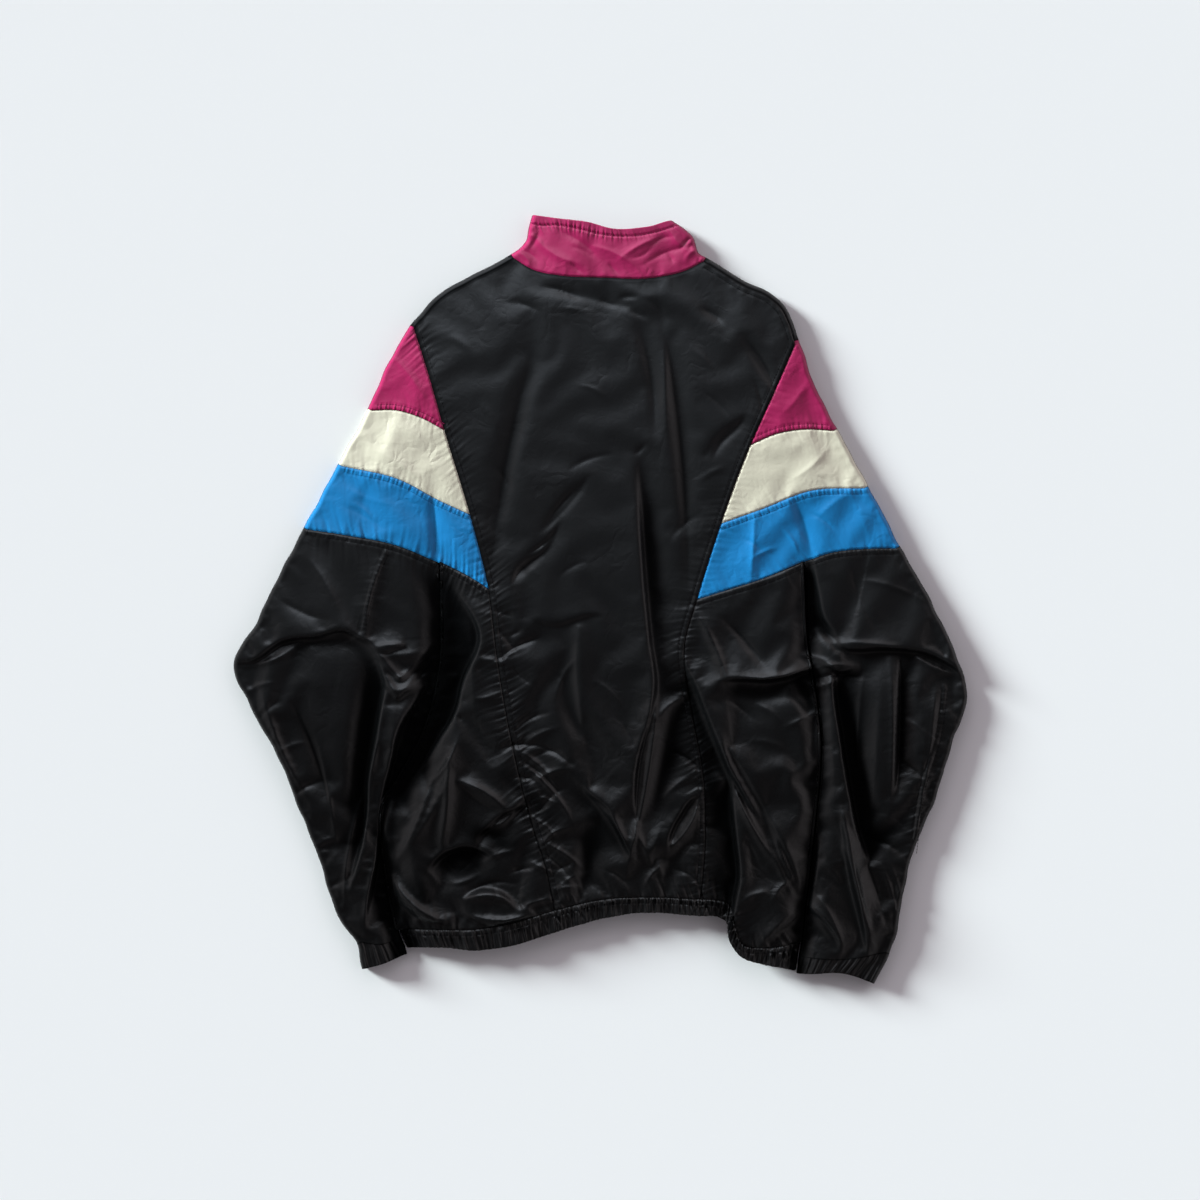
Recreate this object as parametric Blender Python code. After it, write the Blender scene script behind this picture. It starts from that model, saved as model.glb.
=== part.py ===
"""Track jacket of thin nylon, laid flat on its front, so its back is up.

The jacket's outline and seams are smooth curves through short tables of stations. A height function gives
the cloth's top over every point of the plan: a soft general rise, and ridges, troughs and overlaps from short
tables of folds. Each cut piece is a grid of plan points between its seams. The grid is lifted to that height,
carried round the side fold and back along the flat underside, and closed into a wall. Lengths are in
millimetres until a mesh is made. X points to the wearer's right, Y to the collar and Z up. Left and right are
the wearer's.
"""
import math
from collections import namedtuple

import bmesh
import bpy
import numpy as np

MM = 0.001

# Cloth
WALL = 2.0
SEAM_GAP = 0.3
CREVICE_GAP = 1.2
WELD_STEP = 0.005
SIDE_FOLD = 5.0
UNDERARM_FOLD = 3.0

# General height of the top layer over the surface
EDGE_HEIGHT = 12.0
FULL_RISE = 4.0
RISE_RUN = 60.0
LOWEST_TOP = 10.5
CREVICE_DEPTH = 4.0
CREVICE_WIDTH = 11.0
FADE_BEYOND = 0.12
FADE_SHARE = 0.3

# Collar and hem
COLLAR_FRONT_DROP = 44.0
GATHER_HEIGHT = 1.2

# Zip
CHAIN_WIDTH = 6.0
CHAIN_HEIGHT = 2.4
SLIDER_HEIGHT = 4.6
TAB_THICKNESS = 1.6

# Cells along and across the pieces
MAGENTA_ROWS = 6
WHITE_ROWS = 4
BLUE_ROWS = 5
SIDE_ROWS = 22
SLEEVE_ROWS = 26
CUFF_ROWS = 2
COLLAR_ROWS = 4
HEM_ROWS = 3
SLEEVE_CELLS = 10
SIDE_CELLS = 7
SHOULDER_CELLS = 5
NECK_CELLS = 12
BACK_CELLS = 2 * SHOULDER_CELLS + NECK_CELLS
BAND_POINTS = SIDE_CELLS + SLEEVE_CELLS + 1
SLEEVE_KEPT = (0, 3, 5, 7, 10)
SIDE_KEPT = (0, 2, 5, 7)
NECK_KEPT = (0, 3, 6)
HALF_BACK_KEPT = (0, 4, 8, 11)
SIDE_TURN = (45.0, 0.0, -45.0)

Station = namedtuple("Station", "mark x y")

LEFT_EDGE = [
    Station("collar top", -68.5, 383),
    Station("", -72.5, 368),
    Station("", -78.5, 354),
    Station("neck", -89.5, 345),
    Station("", -120.5, 328),
    Station("", -160.5, 306),
    Station("apex", -189.5, 274),
    Station("", -205.5, 249),
    Station("magenta end", -232.5, 191),
    Station("white end", -262, 136),
    Station("blue end", -296, 72.5),
    Station("", -319.5, 28),
    Station("", -342.5, -20),
    Station("elbow", -366.5, -68),
    Station("", -353.5, -99),
    Station("", -319.5, -162),
    Station("", -300.5, -210),
    Station("", -280.5, -260),
    Station("", -260.5, -319),
    Station("cuff seam", -243.5, -343),
    Station("cuff end", -238.5, -368),
]
RIGHT_EDGE = [
    Station("collar top", 71.5, 378.5),
    Station("", 85.5, 369),
    Station("", 94.5, 356),
    Station("neck", 105.5, 342),
    Station("", 139.5, 321),
    Station("", 179.5, 299),
    Station("apex", 198.5, 260),
    Station("", 211.5, 220),
    Station("magenta end", 236.5, 171),
    Station("white end", 267.5, 114),
    Station("blue end", 299, 54),
    Station("", 330.5, -2),
    Station("", 356.5, -59),
    Station("elbow", 366.5, -92),
    Station("", 352.5, -139),
    Station("", 333.5, -200),
    Station("", 309.5, -260),
    Station("", 299.5, -310),
    Station("", 294.5, -336),
    Station("cuff seam", 288.5, -353),
    Station("cuff end", 273.5, -383),
]
LEFT_PRINCESS = [
    Station("apex", -185.5, 269),
    Station("", -168.5, 215),
    Station("magenta end", -155.5, 169),
    Station("white end", -130, 85),
    Station("blue end", -111.5, 11),
    Station("", -102.5, -60),
    Station("", -88.5, -140),
    Station("", -67.5, -226),
    Station("", -54.5, -266),
    Station("hem", -45.5, -309),
]
RIGHT_PRINCESS = [
    Station("apex", 194.5, 256),
    Station("", 174.5, 210),
    Station("magenta end", 149.5, 154.5),
    Station("white end", 120, 76),
    Station("blue end", 96, 0.5),
    Station("", 83.5, -45),
    Station("", 90.5, -107),
    Station("", 102.5, -175),
    Station("", 104.5, -238),
    Station("hem", 100, -298),
]
LEFT_CREVICE = [
    Station("blue end", -160.5, 37),
    Station("", -156.5, -20),
    Station("", -160.5, -80),
    Station("", -176.5, -135),
    Station("", -198.5, -175),
    Station("", -216.5, -206),
    Station("", -217.5, -236),
    Station("", -212.5, -275),
    Station("side end", -201.5, -328),
    Station("cuff seam", -198.5, -337),
    Station("hem end", -194.5, -346),
    Station("cuff end", -192.5, -353),
]
RIGHT_CREVICE = [
    Station("blue end", 202.5, 38),
    Station("", 205.5, -43),
    Station("", 212.5, -85),
    Station("", 217.5, -125),
    Station("", 218.5, -165),
    Station("", 213.5, -218),
    Station("", 207.5, -273),
    Station("", 202.5, -315),
    Station("side end", 199.5, -342),
    Station("cuff seam", 197.5, -355),
    Station("hem end", 195.5, -369),
    Station("cuff end", 195, -372),
]
NECK_SEAM = [
    Station("", -67.5, 329),
    Station("", -40.5, 323),
    Station("", -0.5, 321),
    Station("", 54.5, 321),
    Station("", 84.5, 328),
]
COLLAR_TOP = [
    Station("", -40.5, 379),
    Station("", -10.5, 375),
    Station("", 11.5, 369),
    Station("", 39.5, 370),
]
# Plan points that each seam passes between its two ends
BAND_SEAMS = {
    ("left", "magenta end"): ((-180.5, 182), (-205.5, 189)),
    ("left", "white end"): ((-160.5, 99), (-200.5, 120)),
    ("left", "blue end"): ((-205.5, 55), (-250.5, 64)),
    ("right", "magenta end"): ((177.5, 166), (207.5, 170)),
    ("right", "white end"): ((159.5, 90), (210.5, 109)),
    ("right", "blue end"): ((229.5, 47), (264.5, 51)),
}
UNDERARM_SEAM = {
    "left": ((-123.5, 19), (-142.5, 29)),
    "right": ((129.5, 11), (164.5, 22)),
}
HEM_TOP = [
    Station("left", -201.5, -328),
    Station("", -170.5, -328),
    Station("", -125.5, -328),
    Station("", -85.5, -321),
    Station("left princess", -45.5, -309),
    Station("", 3.5, -298),
    Station("", 49.5, -296),
    Station("right princess", 100, -298),
]
HEM_BOTTOM = [
    Station("left", -193.5, -346),
    Station("", -160.5, -345),
    Station("", -121.5, -348),
    Station("", -79.5, -341),
    Station("left princess", -42.5, -329),
    Station("", 3.5, -316),
    Station("", 33.5, -311),
    Station("right princess", 100.5, -313.5),
]
# The right side panel hangs lower than the back and laps over the end of its hem, so the hem steps down there
HemStep = namedtuple("HemStep", "x_top y_top x_bottom y_bottom")
HEM_STEP = [
    HemStep(114.5, -299, 115.5, -314.5),
    HemStep(126.5, -302, 125.5, -320),
    HemStep(133.5, -324, 128.5, -339),
    HemStep(141.5, -343, 138.5, -353),
    HemStep(161.5, -346.5, 161.5, -362),
    HemStep(181.5, -344.5, 179.5, -365),
]
# Sections of the slider and its turned-up pull tab, from the chain's end towards the neck
SliderSection = namedtuple("SliderSection", "y half_width top")
SLIDER = [
    SliderSection(0.0, 3.4, SLIDER_HEIGHT - 1.0),
    SliderSection(1.0, 4.4, SLIDER_HEIGHT),
    SliderSection(9.0, 4.4, SLIDER_HEIGHT),
    SliderSection(11.0, 3.2, SLIDER_HEIGHT - 1.2),
    SliderSection(11.4, 1.5, TAB_THICKNESS),
    SliderSection(14.0, 1.5, TAB_THICKNESS),
    SliderSection(16.0, 3.0, TAB_THICKNESS),
    SliderSection(34.0, 3.4, TAB_THICKNESS),
    SliderSection(36.0, 2.2, TAB_THICKNESS),
]
ZIP_ENDS = [
    Station("hem", 27.5, -312),
    Station("collar", 5.5, 328),
]
CUFF_LINES = {
    ("left", "cuff seam"): ((-219.5, -343),),
    ("left", "cuff end"): ((-215.5, -362),),
    ("right", "cuff seam"): ((241.5, -358),),
    ("right", "cuff end"): ((244.5, -372.5),),
}

# Ridges and troughs: a line with a sideways bow, its width and its rise, which is negative in a trough
Fold = namedtuple("Fold", "x0 y0 x1 y1 bow width rise")
BACK_FOLDS = [
    Fold(-60.5, 255, -107.5, 25, -6, 17, -3.0),
    Fold(39.5, 150, 59.5, -45, 0, 17, -4.0),
    Fold(39.5, 270, 54.5, 168, 4, 13, -2.5),
    Fold(59.5, 290, 87.5, 15, 6, 15, -3.5),
    Fold(63.5, 265, 63.5, 155, 0, 11, 2.5),
    Fold(-57.5, 70, -14.5, 120, 0, 11, -2.5),
    Fold(-85.5, 20, -60.5, 47, 0, 11, -3.0),
    Fold(-68.5, -20, 3.5, -16, 4, 11, -2.5),
    Fold(-59.5, 308, 39.5, 288, 3, 11, -1.8),
    Fold(142.5, 260, 174.5, 210, 0, 13, -3.0),
    Fold(100.5, 289, 121.5, 276, 0, 11, -2.0),
    Fold(-21.5, -15, -18.5, -140, 0, 13, 2.5),
    Fold(51.5, -78, 27.5, -266, 5, 17, 5.5),
    Fold(-14.5, -190, 30.5, -256, 5, 13, 4.5),
    Fold(-12.5, -206, -16.5, -288, 0, 24, -3.5),
    Fold(47.5, -258, 59.5, -226, 0, 12, 3.0),
    Fold(98.5, -192, 67.5, -250, 7, 15, 4.5),
    Fold(72.5, -112, 51.5, -242, 0, 22, -3.5),
    Fold(-50.5, -60, -0.5, -170, 0, 24, -2.0),
    Fold(105.5, 144, 141.5, 180, 0, 11, -2.0),
]
SIDE_FOLDS = [
    Fold(120.5, -138, 177.5, -266, -8, 15, 5.5),
    Fold(164.5, -215, 197.5, -292, 0, 12, 5.0),
    Fold(147.5, -220, 155.5, -300, 0, 13, -3.0),
    Fold(115.5, -81, 211.5, -68, -3, 17, 5.5),
    Fold(151.5, -98, 215.5, -92, 0, 16, -3.5),
    Fold(122.5, -18, 163.5, -66, 0, 13, -3.0),
    Fold(99.5, -18, 125.5, -80, 0, 13, 3.5),
    Fold(181.5, -128, 211.5, -200, 0, 18, -3.0),
    Fold(161.5, -343, 198.5, -312, 0, 12, 4.0),
    Fold(-160.5, -32, -169.5, -142, -8, 26, -6.0),
    Fold(-169.5, -142, -216.5, -206, 0, 24, -5.0),
    Fold(-143.5, -142, -200.5, -258, 8, 15, 6.5),
    Fold(-150.5, -156, -158.5, -246, 0, 13, 4.0),
    Fold(-140.5, -180, -92.5, -209, 3, 13, 4.5),
    Fold(-114.5, -229, -79.5, -205, -3, 13, 4.5),
    Fold(-128.5, -234, -85.5, -232, 0, 18, -3.0),
    Fold(-162.5, -266, -112.5, -266, 0, 26, -4.0),
    Fold(-136.5, -299, -74.5, -308, 7, 14, 5.0),
    Fold(-208.5, -274, -156.5, -320, -6, 14, 5.5),
    Fold(-136.5, -313, -58.5, -311, -6, 11, 3.5),
    Fold(-130.5, -20, -124.5, -120, 0, 20, 3.0),
]
SLEEVE_FOLDS = [
    Fold(-224.5, -57, -166.5, -52, 0, 14, 5.5),
    Fold(-216.5, -73, -163.5, -68, 0, 11, -4.5),
    Fold(-210.5, -91, -172.5, -86, 0, 13, 5.0),
    Fold(-227.5, -50, -248.5, -232, 0, 22, -5.5),
    Fold(-204.5, -98, -232.5, -312, 6, 20, 8.0),
    Fold(-300.5, -96, -264.5, -212, 0, 24, -3.0),
    Fold(-338.5, -90, -288.5, -200, -4, 20, 2.5),
    Fold(-215.5, 48, -236.5, -34, -3, 13, 2.0),
    Fold(239.5, -88, 267.5, -260, 2, 18, -6.5),
    Fold(279.5, -70, 271.5, -206, 0, 26, 6.0),
    Fold(302.5, -64, 297.5, -190, 0, 15, -4.5),
    Fold(328.5, -100, 315.5, -200, 0, 20, 3.0),
    Fold(237.5, -232, 269.5, -342, 0, 13, 5.0),
    Fold(251.5, -230, 283.5, -320, 0, 13, -3.5),
    Fold(207.5, -305, 239.5, -350, 0, 12, 5.0),
    Fold(211.5, -66, 255.5, -67, -4, 13, 5.0),
    Fold(207.5, -15, 237.5, -45, 0, 14, -4.5),
    Fold(227.5, -100, 233.5, -200, 0, 16, 4.0),
]
BAND_FOLDS = [
    Fold(-168.5, 106, -163.5, 44, 0, 12, -2.5),
    Fold(193.5, 100, 210.5, 44, 0, 13, -3.0),
    Fold(153.5, 86, 149.5, 18, 0, 11, 2.0),
    Fold(-200.5, 180, -248.5, 100, 5, 26, 2.0),
    Fold(-222.5, 130, -248.5, 60, 0, 20, -2.0),
    Fold(199.5, 220, 233.5, 130, 0, 22, -2.0),
    Fold(244.5, 120, 271.5, 55, 0, 20, 2.0),
]
# Overlaps: the cloth on the left of the line, seen from its start, stands higher and falls away slowly
Overlap = namedtuple("Overlap", "x0 y0 x1 y1 bow edge run rise")
OVERLAPS = [
    Overlap(75.5, -48, 161.5, -226, -7, 5.0, 60.0, 9.0),
    Overlap(130.5, -180, 132.5, -325, 0, 5.0, 46.0, 8.0),
    Overlap(-368.5, -70, -224.5, -36, -7, 5.0, 60.0, 7.5),
    Overlap(229.5, -40, 369.5, -88, -9, 5.0, 60.0, 8.0),
]


# Curves -------------------------------------------------------------------------------------------
class Line:
    """A smooth curve through stations, with its length measured along it."""

    STEPS = 24

    def __init__(self, stations, inside=1.0):
        """inside is +1 where the piece lies to the right of the curve's direction, and -1 to the left."""
        points = np.array([(s.x, s.y) for s in stations])
        ends = np.vstack([2 * points[0] - points[1], points, 2 * points[-1] - points[-2]])
        dense = []
        for a, b, c, d in zip(ends[:-3], ends[1:-2], ends[2:-1], ends[3:]):
            t = np.arange(self.STEPS)[:, None] / self.STEPS
            dense.append(hermite(b, c, *tangents(a, b, c, d), t))
        self.points = np.vstack(dense + [points[-1:]])
        steps = np.linalg.norm(np.diff(self.points, axis=0), axis=1)
        self.length = np.concatenate([[0.0], np.cumsum(steps)])
        self.marks = {s.mark: self.length[i * self.STEPS] for i, s in enumerate(stations) if s.mark}
        along = np.gradient(self.points, axis=0)
        along /= np.linalg.norm(along, axis=1, keepdims=True)
        self.inward = inside * np.column_stack([along[:, 1], -along[:, 0]])

    def between(self, start, end, cells):
        """Evenly spaced points from one mark to another."""
        at = np.linspace(self.marks[start], self.marks[end], cells + 1)
        return self.at(self.points, at)

    def inward_between(self, start, end, cells):
        """Unit vectors that point into the piece, at the same places as between."""
        at = np.linspace(self.marks[start], self.marks[end], cells + 1)
        vectors = self.at(self.inward, at)
        return vectors / np.linalg.norm(vectors, axis=1, keepdims=True)

    def at(self, values, lengths):
        return np.column_stack([np.interp(lengths, self.length, values[:, k]) for k in (0, 1)])


def tangents(a, b, c, d):
    """Tangents of a curve at b and c. The nearer neighbour counts more, so a short span forms no loop."""
    before, span, after = (np.linalg.norm(q - p) + 1e-9 for p, q in ((a, b), (b, c), (c, d)))
    at_b = span * ((b - a) / before * span + (c - b) / span * before) / (before + span)
    at_c = span * ((c - b) / span * after + (d - c) / after * span) / (span + after)
    return at_b, at_c


def hermite(b, c, at_b, at_c, t):
    """Cubic from b to c with the given end tangents."""
    return ((2 * t**3 - 3 * t**2 + 1) * b + (t**3 - 2 * t**2 + t) * at_b
            + (3 * t**2 - 2 * t**3) * c + (t**3 - t**2) * at_c)


def through(points, cells):
    """Evenly spaced points on a smooth curve through a few points."""
    line = Line([Station(str(i), x, y) for i, (x, y) in enumerate(points)])
    return line.between("0", str(len(points) - 1), cells)


def patch(top, bottom, left, right):
    """Plan grid between four borders: each is blended across to its opposite, less the corners' share."""
    v = np.linspace(0, 1, len(left))[:, None, None]
    u = np.linspace(0, 1, len(top))[None, :, None]
    ruled_down = (1 - v) * top[None] + v * bottom[None]
    ruled_across = (1 - u) * left[:, None] + u * right[:, None]
    upper = (1 - u) * top[0] + u * top[-1]
    lower = (1 - u) * bottom[0] + u * bottom[-1]
    return ruled_down + ruled_across - ((1 - v) * upper + v * lower)


EDGES = {"left": Line(LEFT_EDGE, -1.0), "right": Line(RIGHT_EDGE, 1.0)}
CREVICES = {"left": Line(LEFT_CREVICE, 1.0), "right": Line(RIGHT_CREVICE, -1.0)}
PRINCESS = {"left": Line(LEFT_PRINCESS), "right": Line(RIGHT_PRINCESS)}


# Height of the cloth ------------------------------------------------------------------------------
def distance_to(points, plan):
    """Distance from each plan point to the nearest point of a dense polyline."""
    flat = plan.reshape(-1, 2)
    nearest = np.full(len(flat), np.inf)
    for a, b in zip(points[:-1], points[1:]):
        span = b - a
        t = np.clip((flat - a) @ span / max(span @ span, 1e-9), 0, 1)
        nearest = np.minimum(nearest, np.linalg.norm(flat - a - t[:, None] * span, axis=1))
    return nearest.reshape(plan.shape[:-1])


def beside(fold, plan):
    """Place along a fold's bowed line, from 0 to 1, and signed distance from it, positive on its left."""
    start = np.array([fold.x0, fold.y0])
    span = np.array([fold.x1, fold.y1]) - start
    length = np.linalg.norm(span)
    along = span / length
    left = np.array([-along[1], along[0]])
    place = (plan - start) @ along / length
    bowed = fold.bow * (1 - (2 * np.clip(place, 0, 1) - 1) ** 2)
    return place, (plan - start) @ left - bowed


def smooth(t):
    """Eased step from 0 to 1."""
    t = np.clip(t, 0, 1)
    return t * t * (3 - 2 * t)


def fade(place):
    """Fade of a fold at its two ends, which starts a little beyond them."""
    from_start = (place + FADE_BEYOND) / FADE_SHARE
    from_end = (1 + FADE_BEYOND - place) / FADE_SHARE
    return smooth(from_start) * smooth(from_end)


def height(plan):
    """Top of the cloth: the edge height, a soft rise inwards, the folds, the overlaps and the crevices."""
    edge = np.minimum(*(distance_to(line.points[::6], plan) for line in EDGES.values()))
    z = EDGE_HEIGHT + FULL_RISE * smooth(edge / RISE_RUN)
    for fold in BACK_FOLDS + SIDE_FOLDS + SLEEVE_FOLDS + BAND_FOLDS:
        place, aside = beside(fold, plan)
        z = z + fold.rise * fade(place) * np.exp(-((aside / fold.width * 2) ** 2))
    for lap in OVERLAPS:
        place, aside = beside(lap, plan)
        step = 0.5 + 0.5 * np.tanh(aside / lap.edge)
        z = z + lap.rise * fade(place) * step * np.exp(-np.maximum(aside, 0) / lap.run)
    for crevice in CREVICES.values():
        near = distance_to(crevice.points[::6], plan)
        z = z - CREVICE_DEPTH * np.exp(-((near / CREVICE_WIDTH) ** 2))
    return LOWEST_TOP + np.logaddexp(0, z - LOWEST_TOP)


def normal_of(plan, step=2.0):
    """Unit normal of the height function, from its slopes across a short step."""
    dx = (height(plan + (step, 0)) - height(plan - (step, 0))) / (2 * step)
    dy = (height(plan + (0, step)) - height(plan - (0, step))) / (2 * step)
    normal = np.stack([-dx, -dy, np.ones_like(dx)], axis=-1)
    return normal / np.linalg.norm(normal, axis=-1, keepdims=True)


# Cloth walls --------------------------------------------------------------------------------------
def lifted(plan):
    """Outer points and normals of a stretch of the top layer."""
    return np.concatenate([plan, height(plan)[..., None]], axis=-1), normal_of(plan)


def gathered(plan):
    """Top layer of an elasticated band: a raised gather between each two columns, level along its seam."""
    fine = np.empty((plan.shape[0], 2 * plan.shape[1] - 1, 2))
    fine[:, ::2] = plan
    fine[:, 1::2] = (plan[:, :-1] + plan[:, 1:]) / 2
    outer, normal = lifted(fine)
    for values in (outer, normal):
        values[0, 1::2] = (values[0, :-1:2] + values[0, 2::2]) / 2
    outer[1:, 1::2, 2] += GATHER_HEIGHT
    outer[1:, 2:-2:2, 2] -= GATHER_HEIGHT
    return outer, normal


def laid(plan):
    """Outer points and normals of a stretch of the flat underside."""
    outer = np.concatenate([plan, np.zeros(plan.shape[:-1] + (1,))], axis=-1)
    return outer, np.broadcast_to(np.array([0.0, 0.0, -1.0]), outer.shape)


def turned(edge, inward, radius, top_height, angles):
    """Side fold as part of an ellipse, from the top layer at 90 degrees to the underside at -90."""
    angle = np.radians(np.array(angles))[None, :]
    half = top_height[:, None] / 2
    reach = radius * (1 - np.cos(angle))
    plan = edge[:, None] + inward[:, None] * reach[..., None]
    outer = np.concatenate([plan, (half * (1 + np.sin(angle)))[..., None]], axis=-1)
    across = -inward[:, None] * (np.cos(angle) / radius)[..., None]
    normal = np.concatenate([across, (np.sin(angle) / half)[..., None]], axis=-1)
    return outer, normal / np.linalg.norm(normal, axis=-1, keepdims=True)


def joined(*stretches):
    """One grid from stretches that follow each other across the piece."""
    return tuple(np.concatenate([s[k] for s in stretches], axis=1) for k in (0, 1))


class Sheet:
    """Cloth as outer and inner points with the faces between them, closed into a wall."""

    def __init__(self):
        self.outer = []
        self.inner = []
        self.faces = []

    def add_points(self, outer, normal):
        first = len(self.outer)
        self.outer.extend(outer.reshape(-1, 3))
        self.inner.extend((outer - WALL * normal).reshape(-1, 3))
        return first

    def grid(self, outer, normal):
        rows, columns = outer.shape[:2]
        first = self.add_points(outer, normal)
        for j in range(rows - 1):
            for i in range(columns - 1):
                a = first + j * columns + i
                self.faces.append((a, a + 1, a + columns + 1, a + columns))

    def plate(self, outer, normal):
        first = self.add_points(outer, normal)
        self.faces.append(tuple(range(first, first + len(outer))))

    def weld(self):
        """Merge points that coincide, and drop the faces that this closes up."""
        outer, inner = np.array(self.outer), np.array(self.inner)
        keys = np.round(np.hstack([outer, inner]) / WELD_STEP).astype(int)
        _, first, merged = np.unique(keys, axis=0, return_index=True, return_inverse=True)
        merged = merged.ravel()
        faces = []
        for face in self.faces:
            corners = [merged[c] for c in face]
            corners = [c for k, c in enumerate(corners) if c != corners[k - 1]]
            if len(corners) > 2:
                faces.append(corners)
        return outer[first], inner[first], faces

    def solid(self, name, finish, gap=SEAM_GAP):
        """Wall between the two layers, with its rim drawn in by half of the seam's gap."""
        outer, inner, faces = self.weld()
        border = border_edges(faces)
        pull = rim_pull(outer, faces, border) * gap / 2
        count = len(outer)
        points = np.vstack([outer + pull, inner + pull])
        points[:, 2] = np.maximum(points[:, 2], 0)
        mesh = bmesh.new()
        verts = [mesh.verts.new(p * MM) for p in points]
        for face in faces:
            mesh.faces.new([verts[c] for c in face])
            mesh.faces.new([verts[c + count] for c in reversed(face)])
        for a, b in border:
            mesh.faces.new([verts[b], verts[a], verts[a + count], verts[b + count]])
        bmesh.ops.recalc_face_normals(mesh, faces=mesh.faces)
        return place_mesh(name, mesh, finish)


def border_edges(faces):
    """Edges that only one face has, in that face's direction."""
    seen = {}
    for face in faces:
        for k, b in enumerate(face):
            a = face[k - 1]
            seen.setdefault((min(a, b), max(a, b)), []).append((a, b))
    return [uses[0] for uses in seen.values() if len(uses) == 1]


def rim_pull(points, faces, border):
    """Vector for each rim point that moves both of its rim edges inwards by one unit, along the cloth."""
    owner = {}
    for face in faces:
        for k, b in enumerate(face):
            owner[(face[k - 1], b)] = face
    ways = {}
    for a, b in border:
        face = points[owner[(a, b)]]
        edge = points[b] - points[a]
        edge = edge / np.linalg.norm(edge)
        facing = face_normal(face)
        inward = np.cross(facing, edge)
        for corner in (a, b):
            ways.setdefault(corner, []).append(inward / max(np.linalg.norm(inward), 1e-9))
    pull = np.zeros_like(points)
    for corner, inward in ways.items():
        first, last = inward[0], inward[-1]
        pull[corner] = (first + last) / max(1 + first @ last, 0.25)
    return pull


def face_normal(points):
    """Normal of a polygon from the sum of its edges' cross products, so its length is twice the area."""
    return np.cross(points, np.roll(points, -1, axis=0)).sum(axis=0)


def place_mesh(name, mesh, finish):
    """Object from a bmesh, with its material."""
    data = bpy.data.meshes.new(name)
    mesh.to_mesh(data)
    mesh.free()
    data.materials.append(finish)
    thing = bpy.data.objects.new(name, data)
    bpy.context.scene.collection.objects.link(thing)
    return thing


def material(name, colour, roughness):
    """Plain finish for one cloth or trim."""
    finish = bpy.data.materials.new(name)
    finish.use_nodes = True
    shader = finish.node_tree.nodes["Principled BSDF"]
    shader.inputs["Base Color"].default_value = (*colour, 1.0)
    shader.inputs["Roughness"].default_value = roughness
    shader.inputs["Metallic"].default_value = 0.0
    return finish


# Borders that pieces share ------------------------------------------------------------------------
def edge_fold(side, start, end, cells):
    """Silhouette points, inward vectors and the plan line where the top layer begins to turn down."""
    edge = EDGES[side].between(start, end, cells)
    inward = EDGES[side].inward_between(start, end, cells)
    return edge, inward, edge + SIDE_FOLD * inward


def crevice_fold(side, start, end, cells, into_sleeve):
    """The same for the fold beside the sleeve, on the sleeve's side of it or on the body's."""
    edge = CREVICES[side].between(start, end, cells)
    inward = CREVICES[side].inward_between(start, end, cells) * (1 if into_sleeve else -1)
    if start == "blue end":
        along_seam = band_seam(side, start)[SIDE_CELLS + (1 if into_sleeve else -1)] - edge[0]
        inward[0] = along_seam / np.linalg.norm(along_seam)
    edge = edge + inward * CREVICE_GAP / 2
    return edge, inward, edge + UNDERARM_FOLD * inward


PRINCESS_RUNS = (
    ("apex", "magenta end", MAGENTA_ROWS),
    ("magenta end", "white end", WHITE_ROWS),
    ("white end", "blue end", BLUE_ROWS),
    ("blue end", "hem", SIDE_ROWS),
)


def princess(side, start, end, cells):
    """Princess seam's points, whose top end is where the side begins to turn."""
    points = PRINCESS[side].between(start, end, cells)
    if start == "apex":
        points[0] = edge_fold(side, "apex", "magenta end", MAGENTA_ROWS)[2][0]
    return points


def underarm_point(side):
    return CREVICES[side].between("blue end", "side end", SIDE_ROWS)[0]


def band_seam(side, mark):
    """A band's lower seam, from princess seam to side fold. The blue one passes the underarm point."""
    rows = {"magenta end": MAGENTA_ROWS, "white end": WHITE_ROWS, "blue end": BLUE_ROWS}[mark]
    above = {"magenta end": "apex", "white end": "magenta end", "blue end": "white end"}[mark]
    inner_end = PRINCESS[side].between(above, mark, rows)[-1]
    outer_end = edge_fold(side, above, mark, rows)[2][-1]
    if mark != "blue end":
        return through([inner_end, *BAND_SEAMS[side, mark], outer_end], SIDE_CELLS + SLEEVE_CELLS)
    underarm = underarm_point(side)
    body = through([inner_end, *UNDERARM_SEAM[side], underarm], SIDE_CELLS)
    sleeve = through([underarm, *BAND_SEAMS[side, mark], outer_end], SLEEVE_CELLS)
    return np.vstack([body, sleeve[1:]])


def hem_line(level):
    """Waistband's top or bottom line, as three runs: across the left side, the back and the right side."""
    line = Line(HEM_TOP if level == "top" else HEM_BOTTOM)
    left = line.between("left", "left princess", SIDE_CELLS)
    back = line.between("left princess", "right princess", BACK_CELLS)
    steps = [(s.x_top, s.y_top) if level == "top" else (s.x_bottom, s.y_bottom) for s in HEM_STEP]
    mark = "side end" if level == "top" else "hem end"
    left[0] = body_end("left", mark)
    right = np.vstack([back[-1], steps, body_end("right", mark)])
    return left, back, right


def body_end(side, mark):
    """Where the body's side fold begins, on the waistband's top or bottom line."""
    start = "blue end" if mark == "side end" else "side end"
    return crevice_fold(side, start, mark, 2, into_sleeve=False)[2][-1]


def neck_line():
    """Neck seam from side fold to side fold."""
    middle = [(s.x, s.y) for s in NECK_SEAM]
    ends = [edge_fold(side, "neck", "apex", SHOULDER_CELLS)[2][0] for side in ("left", "right")]
    return through([ends[0], *middle, ends[1]], NECK_CELLS)


def zip_x(y):
    """Centre of the zip at a height up the front."""
    hem, collar_end = ZIP_ENDS
    return hem.x + (y - hem.y) / (collar_end.y - hem.y) * (collar_end.x - hem.x)


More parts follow.
